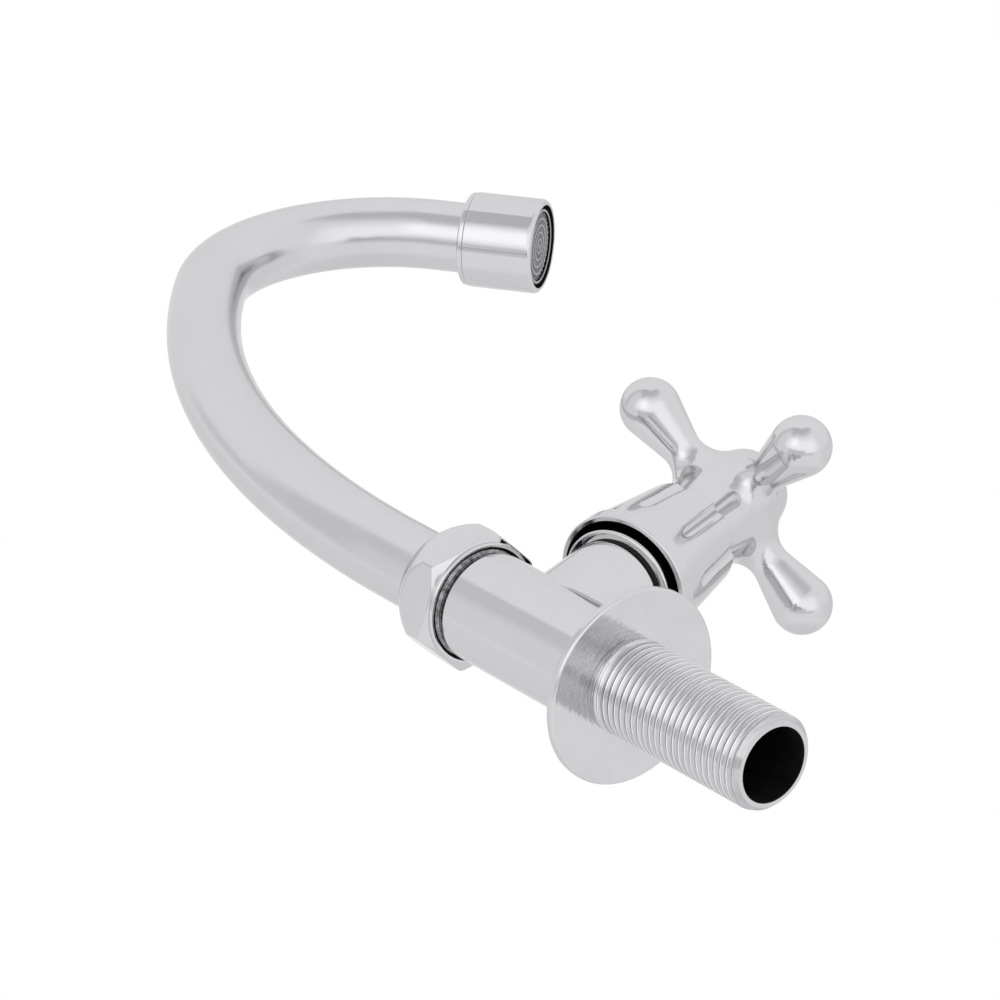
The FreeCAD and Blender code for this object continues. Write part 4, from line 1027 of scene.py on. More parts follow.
    def add_branch(self, skin: Skin) -> None:
        """Adds the branch's wall from the crease to its end, and the bore for the bonnet.

        Args:
            skin: the casting's skin.
        """
        branch = branch_axis()
        angles = full_turn(self.columns)
        across = self.branch * np.cos(angles)
        lift = self.branch * np.sin(angles)
        start = (lift * branch.z[2] + np.sqrt(self.barrel**2 - across * across)) / -branch.z[1]
        end = self.branch_length - self.branch_edge
        skin.wall(branch, self.branch, start, end, angles, self.wall_rows)
        bore = [
            Corner(self.branch, end),
            Corner(self.branch - self.branch_edge, self.branch_length, self.branch_round),
            Corner(self.bonnet_bore, self.branch_length, self.broken_edge),
            shaded(self.bonnet_bore, self.bonnet_floor),
            shaded(self.chamber, self.bonnet_floor),
            shaded(self.chamber, self.seat_top),
            shaded(self.seat_hole, self.seat_top),
            shaded(self.seat_hole, self.seat_floor),
            shaded(0.0, self.seat_floor),
        ]
        skin.turn(branch, Outline(bore), angles)

    def add_neck(self, skin: Skin, angles: Array) -> None:
        """Adds the barrel's top edge, the neck for the union nut and the spout's bore.

        Args:
            skin: the casting's skin.
            angles: the barrel's columns.
        """
        edge = self.broken_edge
        # The top edge and neck in the gap under the nut are painted shade: dark chrome, then near black.
        outline = [
            Corner(self.barrel, self.barrel_top - self.barrel_taper),
            Corner(self.barrel - self.barrel_edge, self.barrel_top, edge, finish=GAP_SHADE_CHROME),
            Corner(self.relief, self.ring_top, edge, finish=GAP_SHADE_CHROME),
            Corner(self.neck - self.neck_edge, self.ring_top, edge, finish=GAP_SHADE_CHROME),
            Corner(self.neck, self.ring_top + self.neck_edge, edge, finish=GAP_SHADE_CHROME),
            shaded(self.neck, self.neck_top - self.neck_edge, edge),
            Corner(self.neck - self.neck_edge, self.neck_top, edge),
            Corner(self.spout_bore + self.bore_lead, self.neck_top, edge),
            shaded(self.spout_bore, self.neck_top - self.bore_lead, edge),
            shaded(self.spout_bore, self.spout_floor),
            shaded(0.0, self.spout_floor),
        ]
        skin.turn(self.axis, Outline(outline), angles)


@dataclass
class UnionNut:
    """The domed hexagon nut that holds the spout down."""

    base: float = 50.55
    lip: float = 13.9
    lip_edge: float = 0.5
    lip_height: float = 0.95
    lip_draft: float = 0.15
    lip_crease: float = 0.05
    rim: float = 16.2
    rim_low: float = 2.15
    rim_high: float = 5.9
    rim_edge: float = 0.3
    dome: float = 17.0
    crown: float = 10.36
    crown_edge: float = 0.2
    height: float = 15.1
    tube_hole: float = 9.56
    ring: float = 11.6
    ring_low: float = 11.0
    ring_high: float = 13.15
    thread: float = 12.5
    flat_half: float = 14.25
    flats: int = 6
    first_corner: float = math.radians(17.7)
    columns: int = 360
    row_step: float = 0.3
    soften: float = 0.3

    def flat(self, turn: Array, along: Array) -> Array:
        """The distance from the axis to the hexagon's flats, the same at every height."""
        return flats_distance(self.flat_half, self.flats, turn - self.first_corner)

    def build(self) -> None:
        """Builds the nut in place of its node."""
        outline = [
            shaded(self.thread, 0.0, self.lip_edge),
            Corner(self.lip, 0.0, self.lip_edge),
            Corner(self.lip - self.lip_draft, self.lip_height, self.lip_crease),
            Corner(self.rim, self.rim_low, self.rim_edge),
            Corner(self.rim, self.rim_high, self.rim_edge),
            Corner(self.crown, self.height, self.crown_edge, self.dome),
            Corner(self.tube_hole, self.height, self.crown_edge),
            shaded(self.tube_hole, self.ring_high),
            shaded(self.ring, self.ring_high),
            shaded(self.ring, self.ring_low),
            shaded(self.thread, self.ring_low),
        ]
        skin = Skin(CHROME)
        angles = full_turn(self.columns, self.first_corner)
        path = Outline(outline, True, self.row_step)
        skin.turn(Axis((0.0, 0.0, self.base)), path, angles, self.flat, self.soften)
        settle(skin.build("union_nut"), Body.TAP, "spout_nut")


@dataclass
class Bonnet:
    """The headwork that screws into the branch, seen as a bright collar inside the handle's skirt."""

    foot: float = 17.7
    foot_edge: float = 0.5
    thread: float = 9.55
    cavity: float = 7.4
    cavity_top: float = 22.0
    guide: float = 5.6
    guide_top: float = 31.0
    collar: float = 13.25
    collar_low: float = 27.2
    collar_high: float = 30.2
    collar_edge: float = 0.6
    flat_half: float = 11.05
    flats: int = 6
    flat_gap: float = 0.01
    flat_top: float = 35.2
    corner_round: float = 12.2
    stem: float = 7.0
    stem_top: float = 43.5
    edge: float = 0.4
    bore_edge: float = 0.2
    spindle_bore: float = 4.05
    flange_bore: float = 5.05
    flange_top: float = 32.6
    columns: int = 192
    row_step: float = 1.0
    soften: float = 0.2

    def spanner(self, turn: Array, along: Array) -> Array:
        """The distance to the spanner flats.

        Args:
            turn: angles about the branch.
            along: places on it.

        Returns:
            The distances, far outside where no flat stands.
        """
        flat = flats_distance(self.flat_half, self.flats, turn)
        return np.where(along > self.collar_high + self.flat_gap, flat, 2.0 * self.collar)

    def build(self) -> None:
        """Builds the bonnet in place of its node."""
        outline = [
            Corner(self.cavity, self.foot, self.bore_edge),
            Corner(self.thread, self.foot, self.foot_edge),
            Corner(self.thread, self.collar_low),
            Corner(self.collar, self.collar_low, self.collar_edge),
            Corner(self.collar, self.collar_high, self.collar_edge),
            Corner(self.corner_round, self.collar_high),
            Corner(self.corner_round, self.flat_top, self.edge),
            Corner(self.stem, self.flat_top, self.edge),
            Corner(self.stem, self.stem_top, self.edge),
            Corner(self.spindle_bore, self.stem_top, self.bore_edge),
            Corner(self.spindle_bore, self.flange_top),
            Corner(self.flange_bore, self.flange_top),
            Corner(self.flange_bore, self.guide_top),
            Corner(self.guide, self.guide_top),
            Corner(self.guide, self.cavity_top),
            Corner(self.cavity, self.cavity_top),
        ]
        skin = Skin(CHROME)
        path = Outline(outline, True, self.row_step)
        skin.turn(branch_axis(), path, full_turn(self.columns), self.spanner, self.soften)
        settle(skin.build("valve_bonnet"), Body.TAP, "bonnet")


@dataclass
class CrossHandle:
    """The cross handle: fluted skirt, rounded hub and four arms that swell into balls."""

    turn_of_arms: float = math.radians(45.6)
    arms: int = 4
    lip: float = 15.75
    lip_low: float = 29.5
    lip_edge: float = 0.45
    bore: float = 14.4
    bore_edge: float = 0.25
    band_top: float = 33.4
    band_step: float = 0.4
    band_edge: float = 0.1
    cone_top: float = 12.74
    skirt_top: float = 55.2
    skirt_edge: float = 0.45
    skirt_step: float = 0.5
    roof: float = 52.0
    roof_bore: float = 10.5
    boss: float = 7.0
    boss_low: float = 46.0
    socket: float = 4.03
    socket_top: float = 60.55
    flutes: int = 8
    flute: float = 1.9
    flute_depth: float = 1.05
    flute_low: float = 41.7
    flute_taper: float = 4.5
    flute_soften: float = 0.12
    foot: float = 10.6
    foot_round: float = 0.6
    belly: float = 11.6
    belly_high: float = 71.0
    belly_arc: float = 45.0
    shoulder: float = 9.45
    shoulder_high: float = 83.0
    shoulder_arc: float = 6.0
    mouth: float = 8.1
    hub_top: float = 85.0
    recess_floor: float = 83.0
    screw_recess: float = 4.7
    screw_floor: float = 75.7
    arm_high: float = 72.25
    ball_reach: float = 27.7
    ball: float = 6.95
    arm_flare: float = math.radians(13.2)
    fillet: float = 6.0
    fillet_share: float = 0.8
    least_face: float = 1.0
    flute_columns: int = 16
    land_columns: int = 12
    flute_reach: float = math.radians(9.5)
    side_rows: int = 30
    ball_steps: int = 24
    arm_steps: int = 12
    fillet_steps: int = 22
    wall_steps: int = 14
    settling_steps: int = 8
    probe: float = 0.002
    axis: Axis = field(init=False)

    def __post_init__(self) -> None:
        """Turns the branch's axis to the first arm."""
        self.axis = branch_axis().turned(self.turn_of_arms)

    def build(self) -> None:
        """Builds the handle in place of its node."""
        skin = Skin(CAST_CHROME)
        self.add_skirt(skin)
        self.add_hub(skin)
        self.add_recess(skin)
        settle(skin.build("cross_handle"), Body.HANDLE, "handle")

    def sector_columns(self) -> Array:
        """Spaces the columns of one arm's quarter.

        Returns:
            The angles from its one border to the other, closer across the flutes.
        """
        sector = FULL_TURN / self.flutes
        flute = np.linspace(-self.flute_reach, self.flute_reach, self.flute_columns + 1)
        land = np.linspace(self.flute_reach, sector - self.flute_reach, self.land_columns + 1)[1:-1]
        middle = np.concatenate([-land[::-1], flute, land])
        inner = flute[: self.flute_columns // 2 + 1] + sector
        return np.concatenate([-inner[::-1], middle, inner])

    def columns(self) -> Array:
        """Spaces the columns all around.

        Returns:
            The angles from the first quarter's border.
        """
        quarter = FULL_TURN / self.arms
        parts = [self.sector_columns()[:-1] + quarter * number for number in range(self.arms)]
        return np.concatenate(parts + [parts[0][:1] + FULL_TURN])

    def cone(self, along: Array) -> Array:
        """The skirt's cone.

        Args:
            along: heights.

        Returns:
            The radii.
        """
        low = self.band_top + self.band_step
        wide = self.lip - self.band_step
        return wide - (along - low) * (wide - self.cone_top) / (self.skirt_top - low)

    def groove(self, turn: Array, along: Array) -> Array:
        """The distance from the axis that the flutes leave, by angle and height.

        Args:
            turn: angles from the first arm.
            along: heights.

        Returns:
            The distances, far out between the flutes.
        """
        sector = FULL_TURN / self.flutes
        offset = np.mod(turn + sector / 2.0, sector) - sector / 2.0
        centre = self.cone(along) - self.flute_depth + self.flute
        below = np.maximum(self.flute_low - along, 0.0) * self.flute / self.flute_taper
        room = self.flute**2 - below**2 - (centre * np.sin(offset)) ** 2
        hollow = np.sqrt(np.maximum(room, 0.0))
        beyond = np.sqrt(np.maximum(-room, 0.0))
        return centre * np.cos(offset) - hollow + beyond

    def add_skirt(self, skin: Skin) -> None:
        """Adds the fluted skirt, outside and inside, up to the hub's foot.

        Args:
            skin: the handle's skin.
        """
        columns = self.columns()
        cone_low = self.band_top + self.band_step
        outside = [
            shaded(self.bore, cone_low),
            shaded(self.bore, self.lip_low, self.bore_edge),
            Corner(self.lip, self.lip_low, self.lip_edge),
            Corner(self.lip, self.band_top, self.band_edge),
            Corner(self.lip - self.band_step, cone_low, self.band_edge),
            Corner(self.cone_top, self.skirt_top, self.skirt_edge),
            Corner(self.foot + self.foot_round, self.skirt_top),
        ]
        path = Outline(outside, False, self.skirt_step)
        skin.turn(self.axis, path, columns, self.groove, self.flute_soften)
        inside = [
            shaded(0.0, self.socket_top),
            shaded(self.socket, self.socket_top),
            shaded(self.socket, self.boss_low),
            shaded(self.boss, self.boss_low),
            shaded(self.boss, self.roof),
            shaded(self.roof_bore, self.roof),
            shaded(self.bore, cone_low),
        ]
        skin.turn(self.axis, Outline(inside), columns)

    def hub(self, along: Array) -> Array:
        """The hub's radius, by height.

        Args:
            along: heights between the hub's foot and its mouth.

        Returns:
            The radii.
        """
        rise = along - self.skirt_top
        straight = self.foot + (self.belly - self.foot) * rise / (self.belly_high - self.skirt_top)
        inset = np.clip(1.0 - rise / self.foot_round, 0.0, 1.0)
        straight = straight + self.foot_round * (1.0 - np.sqrt(1.0 - inset * inset))
        shoulder_low = (self.shoulder, self.shoulder_high)
        belly = self.arc(along, (self.belly, self.belly_high), shoulder_low, self.belly_arc)
        shoulder = self.arc(along, shoulder_low, (self.mouth, self.hub_top), self.shoulder_arc)
        upper = np.where(along < self.shoulder_high, belly, shoulder)
        return np.where(along < self.belly_high, straight, upper)

    @staticmethod
    def arc(along: Array, low: Tuple[float, float], high: Tuple[float, float], radius: float) -> Array:
        """The distance from the axis on an arc that bulges outwards.

        Args:
            along: heights.
            low: the arc's lower end, across and along.
            high: its upper end.
            radius: its radius.

        Returns:
            The distances.
        """
        start = np.array(low)
        chord = np.array(high) - start
        length = float(np.hypot(*chord))
        centre = start + chord / 2.0 + left_of(chord) / length * math.sqrt(radius**2 - length**2 / 4.0)
        return centre[0] + np.sqrt(np.maximum(radius**2 - (along - centre[1]) ** 2, 0.0))

    def shape(self, points: Array) -> Array:
        """The signed size of the hub, an arm and its neighbours, rounded where they meet.

        Args:
            points: local points, with the arm along x.

        Returns:
            One number for each point, zero on the surface.
        """
        x, y, z = points[..., 0], points[..., 1], points[..., 2]
        parts = [np.hypot(x, y) - self.hub(z)]
        for out, across in ((x, y), (y, x), (-y, x)):
            parts.append(self.arm(self.ball_reach - out, np.hypot(across, z - self.arm_high)))
        rooms = [np.maximum(self.fillet - part, 0.0) for part in parts]
        nearest = np.minimum.reduce(parts)
        return np.maximum(self.fillet, nearest) - np.sqrt(sum(room * room for room in rooms))

    def arm(self, inward: Array, aside: Array) -> Array:
        """The signed distance to an arm.

        Args:
            inward: distances along the arm from its ball's middle towards the hub.
            aside: distances from the arm's middle line.

        Returns:
            The distances, below zero inside.
        """
        sine = math.sin(self.arm_flare)
        cosine = math.cos(self.arm_flare)
        cone = aside * cosine + inward * sine - self.ball
        sphere = np.hypot(inward, aside) - self.ball
        return np.where(inward * cosine > aside * sine, cone, sphere)

    def gradient(self, points: Array) -> Array:
        """The shape's slope, by small steps each way.

        Args:
            points: local points, with the arm along x.

        Returns:
            Three parts for each point.
        """
        shifts = np.eye(3) * self.probe
        slopes = [self.shape(points + shift) - self.shape(points - shift) for shift in shifts]
        return np.stack(slopes, -1) / (2.0 * self.probe)

    def border(self) -> Array:
        """Goes round one arm's quarter of the hub.

        Returns:
            The angles and heights of its border.
        """
        columns = self.sector_columns()
        heights = np.linspace(self.skirt_top, self.hub_top, self.side_rows + 1)
        right = np.stack([np.full(len(heights), columns[-1]), heights], -1)
        top = np.stack([columns[::-1], np.full(len(columns), self.hub_top)], -1)
        left = np.stack([np.full(len(heights), columns[0]), heights[::-1]], -1)
        bottom = np.stack([columns, np.full(len(columns), self.skirt_top)], -1)
        return np.concatenate([right, top[1:], left[1:], bottom[1:]])

    def arm_rows(self) -> List[Tuple[Any, Any]]:
        """The rows of the ball and of the arm, down to its fillet.

        Returns:
            For each row its distance out along the arm and its distance from the arm's middle line.
        """
        rows = []
        for polar in np.linspace(0.0, math.pi / 2.0 + self.arm_flare, self.ball_steps):
            rows.append((self.ball_reach + self.ball * math.cos(polar), self.ball * math.sin(polar)))
        start, width = rows[-1]
        for share in np.linspace(0.0, 1.0, self.arm_steps)[1:]:
            out = start + (self.belly + self.fillet - start) * share
            rows.append((out, width - (start - out) * math.tan(self.arm_flare)))
        return rows

    def fillet_rows(self, waist: float, border: Array, wide: Array, tall: Array) -> List[Tuple[Any, Any]]:
        """The rows over the fillet, from the arm to the hub.

        Args:
            waist: the arm's radius where the fillet starts.
            border: the quarter's border.
            wide: the level part of each column's heading from the arm's middle line.
            tall: the upright part of it.

        Returns:
            The rows as arm_rows gives them.
        """
        rows = []
        room = np.hypot(self.belly * np.sin(border[:, 0]), border[:, 1] - self.arm_high) - waist
        spread = np.minimum(self.fillet, self.fillet_share * room)
        for angle in np.linspace(0.0, math.pi / 2.0, self.fillet_steps)[1:]:
            aside = waist + spread * (1.0 - math.cos(angle))
            level = np.clip(self.arm_high + aside * tall, self.skirt_top, self.hub_top)
            face = np.sqrt(np.maximum(self.hub(level) ** 2 - (aside * wide) ** 2, self.least_face))
            rows.append((face + self.fillet * (1.0 - math.sin(angle)), aside))
        return rows

    def wall_rows(self, last: Array, border: Array) -> List[Array]:
        """The rows on the hub's wall, from the fillet's end to the quarter's border.

        Args:
            last: the fillet's last row of local points.
            border: the quarter's border.

        Returns:
            Rows of local points.
        """
        rows = []
        start = np.stack([np.arctan2(last[:, 1], last[:, 0]), last[:, 2]], -1)
        for share in np.linspace(0.0, 1.0, self.wall_steps)[1:]:
            turn, high = (start + (border - start) * share).T
            radius = self.hub(high)
            rows.append(np.stack([radius * np.cos(turn), radius * np.sin(turn), high], -1))
        return rows

    def add_hub(self, skin: Skin) -> None:
        """Adds the hub's wall and the arms, with rows from each ball's pole to its quarter's border.

        Args:
            skin: the handle's skin.
        """
        border = self.border()
        heading = np.arctan2(border[:, 1] - self.arm_high, self.belly * np.sin(border[:, 0]))
        wide = np.cos(heading)
        tall = np.sin(heading)
        rows = self.arm_rows()
        rows += self.fillet_rows(rows[-1][1], border, wide, tall)
        local = []
        for out, aside in rows:
            parts = np.broadcast_arrays(out, aside * wide, self.arm_high + aside * tall)
            local.append(np.stack(parts, -1))
        grid = np.array(local + self.wall_rows(local[-1], border))
        for _ in range(self.settling_steps):
            slope = self.gradient(grid)
            grid = grid - slope * (self.shape(grid) / (slope * slope).sum(-1))[..., None]
        normal = self.gradient(grid)
        normal /= np.linalg.norm(normal, axis=-1, keepdims=True)
        for number in range(self.arms):
            axis = self.axis.turned(number * FULL_TURN / self.arms)
            skin.patch(axis.points(grid), axis.directions(normal))

    def add_recess(self, skin: Skin) -> None:
        """Adds the recess for the cap and the screw's head at the hub's outer end.

        Args:
            skin: the handle's skin.
        """
        outline = [
            Corner(self.mouth, self.hub_top),
            Corner(self.mouth, self.recess_floor),
            shaded(self.screw_recess, self.recess_floor),
            shaded(self.screw_recess, self.screw_floor),
            shaded(0.0, self.screw_floor),
        ]
        skin.turn(self.axis, Outline(outline), self.columns())


@dataclass
class IndexCap:
    """The cap in the hub's outer end and its colour disc."""

    floor: float = 83.0
    cap: float = 8.0
    cap_edge: float = 0.2
    cap_wall_top: float = 84.9
    cap_crown: float = 12.0
    cap_top: float = 86.3
    seat_edge: float = 0.1
    disc: float = 5.15
    disc_fit: float = 0.05
    disc_floor: float = 85.7
    disc_edge: float = 0.15
    disc_crown: float = 44.0
    disc_rise: float = 0.3
    columns: int = 128

    def build(self) -> None:
        """Builds the cap and the disc in place of their nodes."""
        seat = self.disc + self.disc_fit
        cap = [
            Corner(0.0, self.floor),
            Corner(self.cap, self.floor, self.cap_edge),
            Corner(self.cap, self.cap_wall_top, self.cap_edge),
            Corner(seat, self.cap_top, self.seat_edge, self.cap_crown),
            Corner(seat, self.disc_floor),
            Corner(0.0, self.disc_floor),
        ]
        disc = [
            Corner(0.0, self.disc_floor),
            Corner(self.disc, self.disc_floor, self.seat_edge),
            Corner(self.disc, self.cap_top, self.disc_edge),
            Corner(0.0, self.cap_top + self.disc_rise, 0.0, self.disc_crown),
        ]
        for outline, finish, name, node, slot in (
            (cap, CHROME, "hub_cap", "index_cap", Slot.CHROME),
            (disc, BLUE_PLASTIC, "colour_disc", "index_disc", Slot.BLUE_PLASTIC),
        ):
            skin = Skin(finish)
            skin.turn(branch_axis(), Outline(outline), full_turn(self.columns))
            settle(skin.build(name), Body.HANDLE, node)


@dataclass
class SwanNeck:
    """The spout's tube: straight foot, long sweep, tight crook and a short straight tip."""

    aim: float = math.radians(3.7)
    tube: float = 9.26
    bore: float = 8.26
    foot: float = 62.8
    sweep_start: float = 79.55
    sweep: float = 243.3
    sweep_angle: float = math.radians(41.4)
    crook: float = 44.6
    crook_angle: float = math.radians(104.05)
    tip: float = 11.8
    tip_back: float = 3.0
    columns: int = 128
    row_step: float = math.radians(1.2)
    sweep_fineness: int = 2

    def heading(self) -> Array:
        """The level direction that the spout points in at rest."""
        return np.array([math.sin(self.aim), -math.cos(self.aim), 0.0])

    def path(self) -> Tuple[Array, Array]:
        """The tube's middle line.

        Returns:
            Its points, as reach and height, and the angle that it leans forward by at each.
        """
        sweep_rows = math.ceil(self.sweep_angle / self.row_step) * self.sweep_fineness
        sweep = np.linspace(0.0, self.sweep_angle, sweep_rows)
        reach = self.sweep * (1.0 - np.cos(sweep))
        long_arc = np.stack([reach, self.sweep_start + self.sweep * np.sin(sweep)], -1)
        crook_rows = math.ceil(self.crook_angle / self.row_step)
        crook = self.sweep_angle + np.linspace(0.0, self.crook_angle, crook_rows)[1:]
        inward = np.array([math.cos(self.sweep_angle), -math.sin(self.sweep_angle)])
        centre = long_arc[-1] + self.crook * inward
        tight_arc = centre - self.crook * np.stack([np.cos(crook), -np.sin(crook)], -1)
        end = tight_arc[-1] + self.tip * np.array([math.sin(crook[-1]), math.cos(crook[-1])])
        places = np.concatenate([[[0.0, self.foot]], long_arc, tight_arc, [end]])
        return places, np.concatenate([[0.0], sweep, crook, crook[-1:]])

    def outlet(self) -> Axis:
        """Finds the axis of the outlet's pieces.

        Returns:
            The axis, from the bush's back face outwards.
        """
        places, leans = self.path()
        ahead = np.array([math.sin(leans[-1]), math.cos(leans[-1])])
        start = places[-1] - self.tip_back * ahead
        level = self.heading()
        side = np.cross(level, UP)
        forward = level * ahead[0] + UP * ahead[1]
        origin = level * start[0] + UP * start[1]
        return Axis(tuple(origin), tuple(side), tuple(np.cross(forward, side)), tuple(forward))

    def build(self) -> None:
        """Builds the tube in place of its node."""
        places, leans = self.path()
        level = self.heading()
        middle = places[:, :1] * level + places[:, 1:] * UP
        inward = np.cos(leans)[:, None] * level - np.sin(leans)[:, None] * UP
        angles = full_turn(self.columns)[None, :, None]
        spread = np.cos(angles) * inward[:, None, :] + np.sin(angles) * np.cross(level, UP)
        skin = Skin(SATIN_CHROME)
        skin.patch(middle[:, None, :] + self.tube * spread, spread)
        # Painted shade: the tube's inside is near black.
        skin.patch(middle[:, None, :] + self.bore * spread, -spread, PAINTED_SHADE)
        for end, sign in ((0, -1.0), (-1, 1.0)):
            ahead = math.sin(leans[end]) * level + math.cos(leans[end]) * UP
            ring = np.stack([middle[end] + radius * spread[end] for radius in (self.bore, self.tube)])
            skin.patch(ring, np.broadcast_to(sign * ahead, ring.shape))
        settle(skin.build("swan_neck"), Body.SPOUT, "spout_tube")


@dataclass
class Aerator:
    """The outlet: threaded bush, chrome collar and the moulded outlet face with its rings and vanes."""

    neck: SwanNeck
    tube: float = 9.31
    bush_flange: float = 12.32
    bush_flange_length: float = 1.5
    bush_edge: float = 0.6
    bush_thread: float = 11.22
    bush_length: float = 7.7
    bush_end_edge: float = 0.3
    bush_bore: float = 8.3
    bush_bore_edge: float = 0.2
    tube_seat: float = 3.0
    broken_edge: float = 0.1
    collar: float = 12.52
    collar_start: float = 1.55
    collar_end: float = 20.2
    collar_back_edge: float = 0.3
    collar_front_edge: float = 1.4
    collar_bore: float = 11.27
    lip: float = 10.97
    lip_start: float = 17.2
    lip_edge: float = 0.2
    face_flange: float = 11.22
    face_start: float = 15.8
    face_flange_end: float = 17.15
    nose: float = 9.92
    nose_end: float = 19.6
    nose_edge: float = 0.25
    rim: float = 9.22
    grid_start: float = 17.7
    grid_end: float = 19.3
    grid_edge: float = 0.15
    ring_spacing: float = 1.844
    ring_width: float = 0.6
    rings: int = 4
    hub: float = 0.6
    vane_counts: Tuple[int, ...] = (6, 12, 24, 30, 36)
    vane_width: float = 0.32
    vane_root: float = 0.08
    columns: int = 128

    def build(self) -> None:
        """Builds the three pieces in place of their nodes."""
        axis = self.neck.outlet()
        angles = full_turn(self.columns)
        for name, node, outline in (
            ("outlet_ring", "outlet_bush", self.bush()),
            ("aerator_collar", "aerator_housing", self.housing()),
        ):
            skin = Skin(CHROME)
            skin.turn(axis, Outline(outline, True), angles)
            settle(skin.build(name), Body.SPOUT, node)
        skin = Skin(GREY_PLASTIC)
        self.add_nose(skin, axis, angles)
        self.add_grid(skin, axis, angles)
        settle(skin.build("aerator_face"), Body.SPOUT, "aerator_grid")

    def bush(self) -> List[Corner]:
        """Draws the bush.

        Returns:
            Its outline, from its bore's inner end.
        """
        return [
            Corner(self.tube, 0.0, self.broken_edge),
            Corner(self.bush_flange, 0.0, self.bush_edge),
            Corner(self.bush_flange, self.bush_flange_length, self.broken_edge),
            Corner(self.bush_thread, self.bush_flange_length),
            Corner(self.bush_thread, self.bush_length, self.bush_end_edge),
            shaded(self.bush_bore, self.bush_length, self.bush_bore_edge),
            shaded(self.bush_bore, self.tube_seat),
            shaded(self.tube, self.tube_seat),
        ]

    def housing(self) -> List[Corner]:
        """Draws the collar.

        Returns:
            Its outline, from its back end's inner edge.
        """
        return [
            Corner(self.collar_bore, self.collar_start, self.broken_edge),
            Corner(self.collar, self.collar_start, self.collar_back_edge),
            Corner(self.collar, self.collar_end, self.collar_front_edge),
            Corner(self.lip, self.collar_end, self.lip_edge),
            shaded(self.lip, self.lip_start),
            shaded(self.collar_bore, self.lip_start),
        ]

    def add_nose(self, skin: Skin, axis: Axis, angles: Array) -> None:
        """Adds the outlet face's flange and nose.

        Args:
            skin: the face's skin.
            axis: the outlet's axis.
            angles: the columns.
        """
        nose = [
            shaded(self.rim, self.face_start),
            shaded(self.face_flange, self.face_start),
            shaded(self.face_flange, self.face_flange_end, self.broken_edge),
            shaded(self.nose, self.face_flange_end),
            Corner(self.nose, self.nose_end, self.nose_edge),
            Corner(self.rim, self.nose_end, self.grid_edge),
        ]
        skin.turn(axis, Outline(nose, True), angles)

    def add_grid(self, skin: Skin, axis: Axis, angles: Array) -> None:
        """Adds the rings and the vanes between them.

        Args:
            skin: the face's skin.
            axis: the outlet's axis.
            angles: the columns.
        """
        middles = [self.ring_spacing * number for number in range(1, self.rings + 1)]
        half = self.ring_width / 2.0
        for middle in middles:
            ring = [
                Corner(middle - half, self.grid_start),
                Corner(middle + half, self.grid_start),
                Corner(middle + half, self.grid_end, self.grid_edge),
                Corner(middle - half, self.grid_end, self.grid_edge),
            ]
            skin.turn(axis, Outline(ring, True), angles)
        hub = [
            Corner(0.0, self.grid_start),
            Corner(self.hub, self.grid_start),
            Corner(self.hub, self.grid_end, self.grid_edge),
            Corner(0.0, self.grid_end),
        ]
        skin.turn(axis, Outline(hub), angles)
        inner = [self.hub] + [middle + half for middle in middles]
        outer = [middle - half for middle in middles] + [self.rim]
        half_vane = self.vane_width / 2.0
        for start, end, count in zip(inner, outer, self.vane_counts):
            low = (start - self.vane_root, -half_vane, self.grid_start)
            high = (end + self.vane_root, half_vane, self.grid_end - self.vane_width)
            for number in range(count):
                skin.block(axis.turned(FULL_TURN * (number + 0.5) / count), low, high)


class InnerPieces:
    """The pieces inside, which keep their own solids and get their finishes."""

    FINISHES = {
        "bonnet_seal": RUBBER,
        "spindle": BRASS,
        "spindle_o_rings": RUBBER,
        "thrust_washer": WHITE_PLASTIC,
        "spindle_circlip": STEEL,
        "handle_screw": STEEL,
        "jumper": BRASS,
        "jumper_washer": RUBBER,
        "jumper_screw": STEEL,
        "spout_spigot": BRASS,
        "spout_o_rings": RUBBER,
        "slip_washer": WHITE_PLASTIC,
        "aerator_seal": RUBBER,
        "aerator_screen": STEEL,
        "aerator_core": GREY_PLASTIC,
    }

    def build(self) -> None:
        """Gives every inner node its finish."""
        for name, finish in self.FINISHES.items():
            node = frame["nodes"][name]
            node.data.materials.clear()
            node.data.materials.append(finish.material())
            LOG.info("%s is finished in %s", name, finish.name)


# Studio


@dataclass(frozen=True)
class Panel:
    """A soft-edged panel of the tent around the part, which the chrome mirrors.

    turn is the angle of its middle from the camera's side, towards the picture's left, and half is half its
    width. low and high are angles above the table. Each fade is the width of an edge. Angles are in degrees.
    """

    level: float
    turn: float
    half: float
    side_fade: float
    low: float
    low_fade: float
    high: float
    high_fade: float

    def mask(self, sheet: Sheet, off: Wire, rise: Wire) -> Wire:
        """How much of the panel lies in a direction.

        Args:
            sheet: the world's tree.
            off: the direction's angle from the panel's middle, around the tent.
            rise: the direction's angle above the table.

        Returns:
            1 on the panel, 0 beside it.
        """
        edges = []
        for wire, place, reach in (
            (off, self.half, -self.side_fade),
            (rise, self.low, self.low_fade),
            (rise, self.high, -self.high_fade),
        ):
            none = math.radians(place - reach / 2.0)
            full = math.radians(place + reach / 2.0)
            edges.append(sheet.fade(wire, none, full))
        return edges[0] * edges[1] * edges[2]


